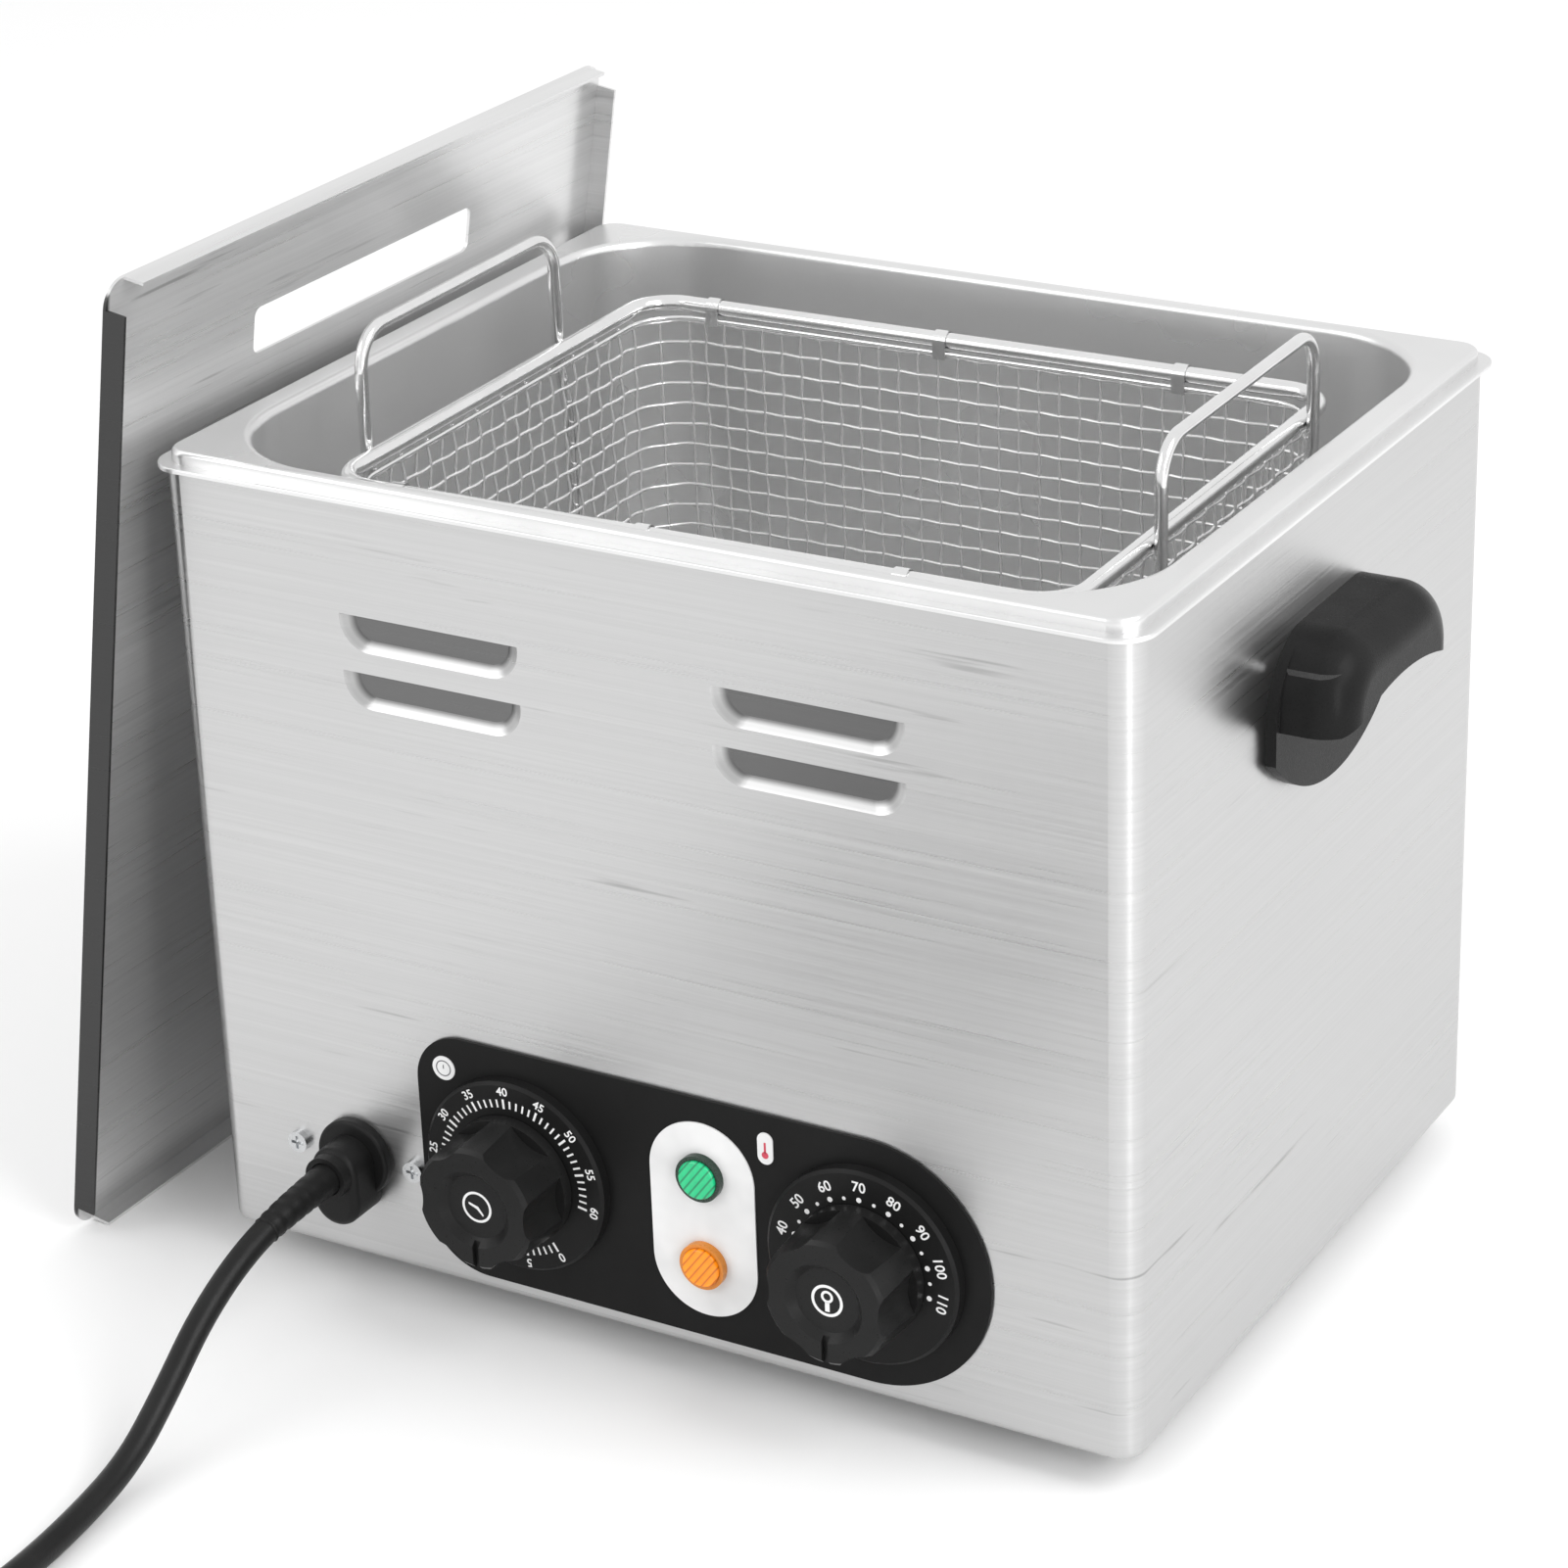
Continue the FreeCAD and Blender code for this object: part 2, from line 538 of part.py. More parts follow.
def make_casing_wrap():
    """Front and sides folded from one sheet, with a bottom flange and two returns at the back."""
    body = new_body("casing_wrap")
    t = D.sheet_thick
    outline = new_sketch(body, "XY_Plane", D.foot_high)
    draw_rounded(outline, -SIDE, SIDE, FRONT, BACK - t, [D.bend_round] * 4)
    draw_rounded(outline, -SIDE + t, SIDE - t, FRONT + t, BACK - t - t, [D.bend_round - t] * 4)
    pad(body, outline, D.casing_high)
    flange = new_sketch(body, "XY_Plane", D.foot_high)
    draw_rounded(flange, -SIDE + t / 2, SIDE - t / 2, FRONT + t / 2, BACK - t - t / 2, [D.bend_round - t / 2] * 4)
    draw_rounded(
        flange, -SIDE + D.flange_wide, SIDE - D.flange_wide, FRONT + D.flange_wide,
        BACK - t - D.flange_wide, [D.bend_round - t] * 4)
    pad(body, flange, t)
    inner_wide = D.casing_wide - 2 * t
    inner_long = D.casing_long - t - 2 * t
    middle = -t / 2
    round_edges(body, D.hem_round - t, ring_at(D.foot_high + t, inner_wide, inner_long, middle))
    round_edges(body, D.hem_round, ring_at(D.foot_high, D.casing_wide, D.casing_long - t, middle))
    opening = D.casing_wide - 2 * (D.bend_round + D.flange_wide)
    remove_block(
        body, (opening, D.bend_round + t, D.casing_high),
        (-opening / 2, BACK - t - D.bend_round, D.foot_high + D.hem_round))
    for x in (D.louvre_left_x, D.louvre_right_x):
        for step in range(2):
            press_louvre(body, x, LOUVRE_LOW + step * D.louvre_pitch)
    bore = D.sheet_thick * 4
    for x in (D.timer_x, D.thermostat_x):
        remove_rod(body, D.bushing_radius + D.bushing_fit, bore, (x, FRONT - t, CONTROL_Z), TO_BACK)
        for side in (-0.5, 0.5):
            at = (x + side * D.control_screw_gap, FRONT - t, CONTROL_Z)
            remove_rod(body, D.control_screw_shank + D.screw_fit, bore, at, TO_BACK)
    for side in (-0.5, 0.5):
        at = (D.label_x, FRONT - t, CONTROL_Z + side * D.lamp_pitch)
        remove_rod(body, D.lamp_body_radius + D.screw_fit, bore, at, TO_BACK)
        at = (D.inlet_x + side * D.inlet_screw_gap, FRONT - t, INLET_Z)
        remove_rod(body, D.screw_shank_radius + D.screw_fit, bore, at, TO_BACK)
        at = (SIDE - 2 * t, D.handle_y + side * D.handle_screw_gap, HANDLE_SCREW_Z)
        remove_rod(body, D.screw_shank_radius + D.screw_fit, bore, at, TO_X)
    remove_rod(body, D.inlet_tail_radius + D.screw_fit, bore, (D.inlet_x, FRONT - t, INLET_Z), TO_BACK)
    for x, z in back_screw_places():
        remove_rod(body, D.screw_shank_radius + D.screw_fit, bore, (x, BACK - 3 * t, z), TO_BACK)
    for x, y in base_screw_places():
        remove_rod(body, D.screw_shank_radius + D.screw_fit, 2 * t, (x, y, D.foot_high - t / 2))
    return piece(body, "casing_wrap")


def press_louvre(body, x, low):
    """One louvre: a slot pressed inward below a straight upper edge, open to the casing at its top."""
    t = D.sheet_thick
    high = low + D.louvre_high
    half = D.louvre_wide / 2
    slope = D.louvre_slope
    end_slope = D.louvre_end_slope
    corner = D.louvre_corner
    sharp = D.sheet_thick / 2
    for inset, kind in ((t, "PartDesign::AdditiveLoft"), (Size.of(0.0), "PartDesign::SubtractiveLoft")):
        mouth_y = FRONT + inset
        throat_y = FRONT + D.louvre_depth + inset
        mouth = new_sketch(body, "XZ_Plane", -mouth_y)
        draw_rounded(mouth, x - half, x + half, low, high, [corner, corner, sharp, sharp])
        throat = new_sketch(body, "XZ_Plane", -throat_y)
        draw_rounded(
            throat, x - half + end_slope, x + half - end_slope, low + slope, high,
            [corner - slope, corner - slope, sharp, sharp])
        loft = body.newObject(kind, f"{body.Name}_louvre")
        loft.Profile = mouth
        loft.Sections = [throat]
        loft.Ruled = True


def back_screw_places():
    """Where the back panel is screwed to the returns."""
    x = SIDE - D.bend_round - D.flange_wide / 2
    levels = (D.foot_high + D.casing_high / 10, D.foot_high + D.casing_high / 2, CASING_TOP - D.casing_high / 10)
    return [(side * x, z) for side in (-1, 1) for z in levels]


def base_screw_places():
    """Where the base plate is screwed to the bottom flange."""
    x = SIDE - D.flange_wide / 2 - D.sheet_thick
    y = BACK - D.casing_long / 6
    return [(side * x, end * y) for side in (-1, 1) for end in (-1, 0, 1)]


def make_back_panel():
    """The flat back, screwed to the returns from outside."""
    t = D.sheet_thick
    wide = D.casing_wide - 2 * D.bend_round
    high = D.casing_high - D.hem_round - D.panel_fit
    plate = block("back_plate", (wide, t, high), (-wide / 2, BACK - t, D.foot_high + D.hem_round))
    bores = [
        rod(f"back_bore{number}", D.screw_shank_radius + D.screw_fit, 3 * t, (x, BACK - 2 * t, z), TO_BACK)
        for number, (x, z) in enumerate(back_screw_places())]
    return piece(cut("back_panel_cut", plate, *bores), "back_panel")


def make_back_screws():
    """Screws of the back panel."""
    screws = [
        screw(f"back_screw{number}", D.screw_head_radius, D.screw_head_high, D.screw_shank_radius,
              D.sheet_thick * 6, (x, BACK, z), TO_FRONT)
        for number, (x, z) in enumerate(back_screw_places())]
    return piece(group("back_screws_set", screws), "back_panel_screws")


def foot_places():
    """Middles of the four feet."""
    x = SIDE - D.foot_inset
    y = BACK - D.foot_inset
    return [(side * x, end * y) for side in (-1, 1) for end in (-1, 1)]


def make_base_plate():
    """The plate inside the bottom flange that carries the feet and the terminals."""
    body = new_body("base_plate")
    t = D.sheet_thick
    inset = D.hem_round + D.panel_fit
    outline = new_sketch(body, "XY_Plane", BASE_LOW)
    draw_rounded(
        outline, -SIDE + inset, SIDE - inset, FRONT + inset, BACK - t - inset, [D.bend_round - t] * 4)
    pad(body, outline, t)
    for x, y in base_screw_places() + foot_places():
        remove_rod(body, D.screw_shank_radius + D.screw_fit, 3 * t, (x, y, D.foot_high))
    for side in (-0.5, 0.5):
        at = (TERMINAL_X + side * D.terminal_screw_gap, TERMINAL_Y, D.foot_high)
        remove_rod(body, D.control_screw_shank + D.screw_fit, 3 * t, at)
    remove_rod(body, D.earth_radius + D.screw_fit, 3 * t, (EARTH_X, EARTH_Y, D.foot_high))
    return piece(body, "base_plate")


def make_base_screws():
    """Screws up through the bottom flange into the base plate."""
    screws = [
        screw(f"base_screw{number}", D.screw_head_radius, D.screw_head_high, D.screw_shank_radius,
              D.sheet_thick * 6, (x, y, D.foot_high), Rotation())
        for number, (x, y) in enumerate(base_screw_places())]
    return piece(group("base_screws_set", screws), "base_screws")


def make_rubber_feet():
    """Four tapered feet against the base plate, each with a recess for its screw."""
    feet = []
    tall = BASE_LOW
    for number, (x, y) in enumerate(foot_places()):
        cone = doc.addObject("Part::Cone", f"foot_cone{number}")
        bind(cone, {"Radius1": D.foot_base_radius, "Radius2": D.foot_top_radius, "Height": tall})
        put(cone, x, y, 0.0)
        recess = rod(f"foot_recess{number}", D.foot_recess_radius, D.foot_recess_high, (x, y, 0.0))
        bore = rod(f"foot_bore{number}", D.screw_shank_radius + D.screw_fit, tall, (x, y, 0.0))
        feet.append(cut(f"foot{number}", cone, recess, bore))
    return piece(group("feet_set", feet), "rubber_feet")


def make_foot_screws():
    """Screws that hold the feet, their heads up in the recesses."""
    screws = [
        screw(f"foot_screw{number}", D.screw_head_radius, D.screw_head_high, D.screw_shank_radius,
              BASE_TOP - D.foot_recess_high + D.nut_high + 2.0 * D.sheet_thick,
              (x, y, D.foot_recess_high), Rotation())
        for number, (x, y) in enumerate(foot_places())]
    return piece(group("foot_screws_set", screws), "foot_screws")


def make_foot_nuts():
    """Nuts of the foot screws, on the base plate."""
    nuts = []
    for number, (x, y) in enumerate(foot_places()):
        blank = hexagon(f"foot_nut_blank{number}", D.nut_radius, D.nut_high, (x, y, BASE_TOP))
        bore = rod(f"foot_nut_bore{number}", D.screw_shank_radius + D.shaft_fit, D.nut_high, (x, y, BASE_TOP))
        nuts.append(cut(f"foot_nut{number}", blank, bore))
    return piece(group("foot_nuts_set", nuts), "foot_nuts")


# ---- tank ---------------------------------------------------------------------------------------

def make_water_tank():
    """The deep-drawn tank with its deck and the lip that closes the casing."""
    body = new_body("water_tank")
    t = D.sheet_thick
    over = D.lip_over
    back = D.deck_setback
    wide = D.casing_wide
    long = D.casing_long
    lip = new_sketch(body, "XY_Plane", CASING_TOP)
    draw_centred(lip, wide + 2 * over, long + 2 * over, D.bend_round + over)
    pad(body, lip, D.lip_thick)
    deck = new_sketch(body, "XY_Plane", CASING_TOP)
    draw_centred(deck, wide - 2 * back, long - 2 * back, D.bend_round)
    pad(body, deck, D.deck_step)
    hollow = new_sketch(body, "XY_Plane", DECK_TOP - t)
    draw_centred(hollow, wide - 2 * back - 2 * t, long - 2 * back - 2 * t, D.bend_round - t)
    pocket(body, hollow, D.deck_step)
    bowl = new_sketch(body, "XY_Plane", TANK_UNDER)
    draw_centred(bowl, TANK_WIDE + 2 * t, TANK_LONG + 2 * t, D.tank_corner + t)
    pad(body, bowl, D.tank_depth)
    cavity = new_sketch(body, "XY_Plane", DECK_TOP)
    draw_centred(cavity, TANK_WIDE, TANK_LONG, D.tank_corner)
    pocket(body, cavity, D.tank_depth)
    round_edges(body, D.tank_floor_round, ring_at(TANK_FLOOR, TANK_WIDE, TANK_LONG))
    round_edges(body, D.tank_floor_round + t, ring_at(TANK_UNDER, TANK_WIDE + 2 * t, TANK_LONG + 2 * t))
    under = TANK_WIDE + 2 * t
    round_edges(body, D.tank_edge_round - t, ring_at(DECK_TOP - t, under, TANK_LONG + 2 * t))
    round_edges(body, D.tank_edge_round, ring_at(DECK_TOP, TANK_WIDE, TANK_LONG))
    round_edges(body, D.deck_round, ring_at(DECK_TOP, wide - 2 * back, long - 2 * back))
    lip_top = CASING_TOP + D.lip_thick
    round_edges(body, D.lip_thick / 2.5, ring_at(lip_top, wide + 2 * over, long + 2 * over))
    return piece(body, "water_tank")


# ---- control panel ------------------------------------------------------------------------------

def lamp_levels():
    """Heights of the two lamps."""
    return [CONTROL_Z + side * D.lamp_pitch for side in (0.5, -0.5)]


def make_control_panel():
    """The black plate on the front, round at its right end."""
    body = new_body("control_panel")
    outline = new_sketch(body, "XZ_Plane", -FRONT)
    end = D.plate_high / 2 - 0.01
    draw_rounded(
        outline, D.plate_left, D.plate_right, PLATE_LOW, PLATE_LOW + D.plate_high,
        [D.plate_low_round, end, end, D.plate_top_round])
    pad(body, outline, D.plate_thick)
    deep = D.plate_thick * 3
    for x in (D.timer_x, D.thermostat_x):
        remove_rod(body, D.bushing_radius + D.bushing_fit, deep, (x, PLATE_FACE - D.plate_thick, CONTROL_Z), TO_BACK)
        for side in (-0.5, 0.5):
            at = (x + side * D.control_screw_gap, PLATE_FACE - D.plate_thick, CONTROL_Z)
            remove_rod(body, D.control_screw_head + D.screw_fit, deep, at, TO_BACK)
    for z in lamp_levels():
        at = (D.label_x, PLATE_FACE - D.plate_thick, z)
        remove_rod(body, D.lamp_body_radius + D.screw_fit, deep, at, TO_BACK)
    return piece(body, "control_panel")


def make_label_plate():
    """The pale oblong plate round the lamps."""
    body = new_body("label_plate")
    outline = new_sketch(body, "XZ_Plane", -PLATE_FACE)
    draw_centred(outline, D.label_wide, D.label_high, D.label_wide / 2 - 0.01, D.label_x, CONTROL_Z)
    pad(body, outline, D.label_thick)
    for z in lamp_levels():
        at = (D.label_x, LABEL_FACE - D.label_thick, z)
        remove_rod(body, D.lamp_body_radius + D.screw_fit, D.label_thick * 4, at, TO_BACK)
    return piece(body, "label_plate")


def make_badges():
    """Two plain pale badges above the dials, one round and one pill-shaped."""
    face = PLATE_FACE - D.badge_thick
    disc = rod("round_badge", D.round_badge_radius, D.badge_thick, (D.round_badge_x, face, BADGE_Z), TO_BACK)
    straight = D.pill_badge_high - D.pill_badge_wide
    bar = block(
        "pill_bar", (D.pill_badge_wide, D.badge_thick, straight),
        (D.pill_badge_x - D.pill_badge_wide / 2, face, BADGE_Z - straight / 2))
    ends = [
        rod(f"pill_end{number}", D.pill_badge_wide / 2, D.badge_thick,
            (D.pill_badge_x, face, BADGE_Z + side * straight), TO_BACK)
        for number, side in enumerate((-0.5, 0.5))]
    return piece(group("badge_set", [disc, fuse("pill_badge", bar, *ends)]), "panel_badges")


def make_dial(x, label):
    """A dial disc raised on the panel round its shaft, with a bevelled edge."""
    body = new_body(label)
    profile = new_sketch(body, "XY_Plane", 0.0)
    draw_polygon(profile, [
        (D.dial_bore, 0.0), (D.dial_radius, 0.0), (D.dial_radius, D.dial_thick - D.dial_edge),
        (D.dial_radius - D.dial_edge, D.dial_thick), (D.dial_bore, D.dial_thick)])
    turned = body.newObject("PartDesign::Revolution", f"{label}_turn")
    turned.Profile = profile
    turned.ReferenceAxis = (profile, ["V_Axis"])
    turned.Angle = 360.0
    put(body, x, PLATE_FACE, CONTROL_Z, Rotation(Vector(1, 0, 0), 180))
    return piece(body, label)


def make_knob(x, label):
    """A fluted knob: skirt, six flutes, dished face, pointer groove and a flatted bore."""
    body = new_body(label)
    long = D.knob_long
    profile = new_sketch(body, "XY_Plane", 0.0)
    draw_polygon(profile, [
        (0.0, 0.0), (D.knob_radius, 0.0), (D.knob_radius, D.skirt_high),
        (D.knob_front_radius, long - D.knob_edge), (D.knob_front_radius - D.knob_edge, long),
        (D.knob_dish_radius, long), (D.knob_dish_radius - D.knob_dish_depth, long - D.knob_dish_depth),
        (0.0, long - D.knob_dish_depth)])
    turned = body.newObject("PartDesign::Revolution", f"{label}_turn")
    turned.Profile = profile
    turned.ReferenceAxis = (profile, ["V_Axis"])
    turned.Angle = 360.0
    reach = D.knob_front_radius + D.flute_radius - D.flute_depth
    for number in range(FLUTES):
        angle = math.radians(360.0 / FLUTES * (number + 0.5))
        at = (reach * math.sin(angle), D.skirt_high, reach * math.cos(angle))
        remove_rod(body, D.flute_radius, long, at, TO_BACK)
    groove_low = long - D.pointer_depth
    remove_block(
        body, (D.pointer_wide, long, D.knob_radius),
        (-D.pointer_wide / 2, groove_low, D.knob_dish_radius - D.pointer_depth))
    remove_rod(body, D.shaft_radius + D.shaft_fit, D.shaft_in_knob + D.shaft_fit, (0.0, 0.0, 0.0), TO_BACK)
    put(body, x, DIAL_FACE - D.knob_gap, CONTROL_Z, Rotation(Vector(1, 0, 0), 180))
    return piece(body, label)


def make_shaft(x, label):
    """A control shaft with a flat, from inside its control to inside its knob."""
    inside = FRONT_INSIDE + D.shaft_in_body
    outside = DIAL_FACE - D.knob_gap - D.shaft_in_knob
    blank = rod(f"{label}_blank", D.shaft_radius, inside - outside, (x, outside, CONTROL_Z), TO_BACK)
    flat = block(
        f"{label}_flat", (2 * D.shaft_radius, D.shaft_in_knob, D.shaft_radius),
        (x - D.shaft_radius, outside, CONTROL_Z + D.shaft_flat))
    return piece(cut(f"{label}_cut", blank, flat), label)


def control_bores(name, x):
    """Tools that clear the shaft and the two mounting screws out of a control's body."""
    shaft = rod(
        f"{name}_shaft_bore", D.shaft_radius + D.shaft_fit, D.shaft_in_body + D.plate_thick + D.dial_thick,
        (x, PLATE_FACE - D.dial_thick, CONTROL_Z), TO_BACK)
    tail = rod(
        f"{name}_tail_bore", D.shaft_radius + D.shaft_fit, D.shaft_in_body + D.screw_fit,
        (x, FRONT_INSIDE, CONTROL_Z), TO_BACK)
    screws = [
        rod(f"{name}_screw_bore{number}", D.control_screw_shank + D.shaft_fit, D.control_screw_long,
            (x + side * D.control_screw_gap, FRONT_INSIDE, CONTROL_Z), TO_BACK)
        for number, side in enumerate((-0.5, 0.5))]
    return [shaft, tail] + screws


def bushing(name, x):
    """The threaded nose of a control, through the sheet and the panel into the dial."""
    return rod(
        f"{name}_bushing", D.bushing_radius, D.sheet_thick + D.plate_thick + D.dial_thick / 2,
        (x, PLATE_FACE - D.dial_thick / 2, CONTROL_Z), TO_BACK)


def make_timer_body():
    """The clockwork timer behind the front sheet."""
    case = block(
        "timer_case", (D.timer_body_wide, D.timer_body_long, D.timer_body_high),
        (D.timer_x - D.timer_body_wide / 2, FRONT_INSIDE, CONTROL_Z - D.timer_body_high / 2))
    blank = fuse("timer_blank", case, bushing("timer", D.timer_x))
    return piece(cut("timer_cut", blank, *control_bores("timer", D.timer_x)), "timer_body")


def make_thermostat_body():
    """The capillary thermostat behind the front sheet."""
    case = rod(
        "thermostat_case", D.thermostat_body_radius, D.thermostat_body_long,
        (D.thermostat_x, FRONT_INSIDE, CONTROL_Z), TO_BACK)
    blank = fuse("thermostat_blank", case, bushing("thermostat", D.thermostat_x))
    return piece(
        cut("thermostat_cut", blank, *control_bores("thermostat", D.thermostat_x)), "thermostat_body")


def make_control_screws(x, label):
    """The two screws of one control, their heads in the panel's holes below the dial."""
    screws = []
    for number, side in enumerate((-0.5, 0.5)):
        at = (x + side * D.control_screw_gap, FRONT, CONTROL_Z)
        head_base = (at[0], at[1] - D.plate_thick, at[2])
        head = rod(f"{label}_head{number}", D.control_screw_head, D.plate_thick, head_base, TO_BACK)
        long = D.sheet_thick + D.control_screw_long
        shank = rod(f"{label}_shank{number}", D.control_screw_shank, long, at, TO_BACK)
        screws.append(fuse(f"{label}_{number}", head, shank))
    return piece(group(f"{label}_set", screws), label)


def make_lamp(z, word):
    """One indicator lamp: a bezelled body through the front, and its lens."""
    shank = D.label_thick + D.plate_thick + D.sheet_thick + D.lamp_body_long
    blank = fuse(
        f"{word}_lamp_blank",
        rod(f"{word}_bezel", D.bezel_radius, D.bezel_high, (D.label_x, LABEL_FACE - D.bezel_high, z), TO_BACK),
        rod(f"{word}_barrel", D.lamp_body_radius, shank, (D.label_x, LABEL_FACE, z), TO_BACK))
    seat = rod(
        f"{word}_seat", D.bezel_radius - D.bezel_wall, D.bezel_high / 2,
        (D.label_x, LABEL_FACE - D.bezel_high, z), TO_BACK)
    piece(cut(f"{word}_lamp_cut", blank, seat), f"{word}_lamp_body")
    body = new_body(f"{word}_lamp_lens")
    radius = D.bezel_radius - D.bezel_wall - D.shaft_fit
    add_rod(
        body, radius, D.lens_high + D.bezel_high / 2,
        (D.label_x, LABEL_FACE - D.bezel_high - D.lens_high, z), TO_BACK)
    face = float(LABEL_FACE - D.bezel_high - D.lens_high)
    round_edges(body, D.lens_round, lambda box: abs(box.YMin - face) < 0.01 and abs(box.YMax - face) < 0.01)
    return piece(body, f"{word}_lamp_lens")


def make_lamp_nuts():
    """Ring nuts that hold the lamps from behind."""
    nuts = []
    for number, z in enumerate(lamp_levels()):
        at = (D.label_x, FRONT_INSIDE, z)
        blank = hexagon(f"lamp_nut_blank{number}", D.lamp_nut_radius, D.lamp_nut_thick, at, TO_BACK)
        bore = rod(f"lamp_nut_bore{number}", D.lamp_body_radius + D.shaft_fit, D.lamp_nut_thick, at, TO_BACK)
        nuts.append(cut(f"lamp_nut{number}", blank, bore))
    return piece(group("lamp_nuts_set", nuts), "lamp_nuts")


# ---- cord inlet ---------------------------------------------------------------------------------

def make_cord_boot():
    """The moulded boot of the lead: wall flange, drop-shaped body, collar and the tail inside the wall."""
    body = new_body("cord_boot")
    add_rod(
        body, D.boot_flange_radius, D.boot_flange_thick,
        (D.inlet_x, FRONT - D.boot_flange_thick, INLET_Z), TO_BACK)
    face = float(FRONT - D.boot_flange_thick)
    round_edges(
        body, D.boot_flange_thick / 3, lambda box: abs(box.YMin - face) < 0.01 and abs(box.YMax - face) < 0.01)
    drop = new_sketch(body, "XZ_Plane", -FRONT)
    draw_rounded(
        drop, D.inlet_x - D.boot_radius, D.inlet_x + D.boot_radius, INLET_Z - D.boot_drop - D.boot_radius,
        INLET_Z + D.boot_radius, [D.boot_radius - 0.01] * 4)
    pad(body, drop, D.boot_long)
    front = float(FRONT - D.boot_long)
    round_edges(
        body, D.boot_round, lambda box: abs(box.YMin - front) < 0.01 and abs(box.YMax - front) < 0.01)
    collar_at = (D.inlet_x, FRONT - D.collar_long, INLET_Z)
    add_rod(body, D.collar_radius, D.collar_long - D.boot_long / 2, collar_at, TO_BACK)
    remove_rod(body, D.collar_radius - D.collar_wall, D.collar_recess, collar_at, TO_BACK)
    tail = D.boot_long + D.sheet_thick + D.inlet_tail_long - D.boot_long / 2
    add_rod(body, D.inlet_tail_radius, tail, (D.inlet_x, FRONT - D.boot_long / 2, INLET_Z), TO_BACK)
    return piece(body, "cord_boot")


def make_inlet_clamp():
    """The strap behind the front sheet that the two inlet screws pull against the boot's tail."""
    wide = D.inlet_screw_gap + 4 * D.screw_shank_radius + 4 * D.sheet_thick
    strap = block(
        "inlet_strap", (wide, D.inlet_clamp_thick, D.inlet_clamp_high),
        (D.inlet_x - wide / 2, FRONT_INSIDE, INLET_Z - D.inlet_clamp_high / 2))
    tools = [rod(
        "inlet_strap_bore", D.inlet_tail_radius + D.shaft_fit, D.inlet_clamp_thick,
        (D.inlet_x, FRONT_INSIDE, INLET_Z), TO_BACK)]
    for number, side in enumerate((-0.5, 0.5)):
        at = (D.inlet_x + side * D.inlet_screw_gap, FRONT_INSIDE, INLET_Z)
        tools.append(rod(
            f"inlet_strap_screw_bore{number}", D.screw_shank_radius + D.screw_fit, D.inlet_clamp_thick,
            at, TO_BACK))
    return piece(cut("inlet_clamp_cut", strap, *tools), "inlet_clamp")


def make_inlet_screws():
    """The two cross-headed screws beside the inlet."""
    long = D.sheet_thick + D.inlet_clamp_thick + D.nut_high + D.sheet_thick
    screws = [
        screw(f"inlet_screw{number}", D.screw_head_radius, D.screw_head_high, D.screw_shank_radius, long,
              (D.inlet_x + side * D.inlet_screw_gap, FRONT, INLET_Z), TO_BACK)
        for number, side in enumerate((-0.5, 0.5))]
    return piece(group("inlet_screws_set", screws), "inlet_screws")


def make_inlet_nuts():
    """Nuts of the inlet screws, on the clamp."""
    nuts = []
    for number, side in enumerate((-0.5, 0.5)):
        at = (D.inlet_x + side * D.inlet_screw_gap, FRONT_INSIDE + D.inlet_clamp_thick, INLET_Z)
        blank = hexagon(f"inlet_nut_blank{number}", D.nut_radius, D.nut_high, at, TO_BACK)
        bore = rod(f"inlet_nut_bore{number}", D.screw_shank_radius + D.shaft_fit, D.nut_high, at, TO_BACK)
        nuts.append(cut(f"inlet_nut{number}", blank, bore))
    return piece(group("inlet_nuts_set", nuts), "inlet_nuts")


# ---- side handle --------------------------------------------------------------------------------

def make_side_handle():
    """The hooded handle on the right side, hollow from below for the fingers, on its shield-shaped base."""
    body = new_body("side_handle")
    y = D.handle_y
    half = D.handle_base_long / 2
    hood_half = D.hood_long / 2
    outer = SIDE + D.hood_out
    hood = new_sketch(body, "YZ_Plane", SIDE)
    draw_rounded(
        hood, y - hood_half, y + hood_half, HOOD_LOW - D.hood_high, HANDLE_TOP, [D.hood_corner] * 4)
    pad(body, hood, D.hood_out)
    face = float(outer) - 0.01
    round_edges(body, D.hood_round, lambda box: box.XMin > face)
    remove_block(
        body, (D.hood_out * 2, D.handle_base_long, D.hood_high * 2),
        (SIDE - D.hood_out / 2, y - half, HOOD_LOW - D.hood_high * 2))
    wall = D.hood_wall
    hollow = new_sketch(body, "XY_Plane", HANDLE_TOP - wall * 2)
    draw_rounded(
        hollow, SIDE + D.handle_base_thick, outer - wall, y - hood_half + wall, y + hood_half - wall,
        [D.sheet_thick, D.hollow_corner, D.hollow_corner, D.sheet_thick])
    pocket(body, hollow, HANDLE_TOP - HOOD_LOW)
    arch = new_sketch(body, "YZ_Plane", SIDE + D.handle_base_thick)
    draw_arch(arch, y, HOOD_LOW, hood_half - wall, D.hood_arch)
    pocket(body, arch, D.hood_out, True)
    base = new_sketch(body, "YZ_Plane", SIDE)
    draw_shield(base, y - half, y + half, HANDLE_LOW, HANDLE_SHOULDER, HANDLE_TOP, D.handle_corner)
    pad(body, base, D.handle_base_thick)
    for side in (-0.5, 0.5):
        at = (SIDE - D.handle_base_thick, y + side * D.handle_screw_gap, HANDLE_SCREW_Z)
        remove_rod(body, D.screw_shank_radius + D.screw_fit, D.handle_base_thick * 3, at, TO_X)
    return piece(body, "side_handle")


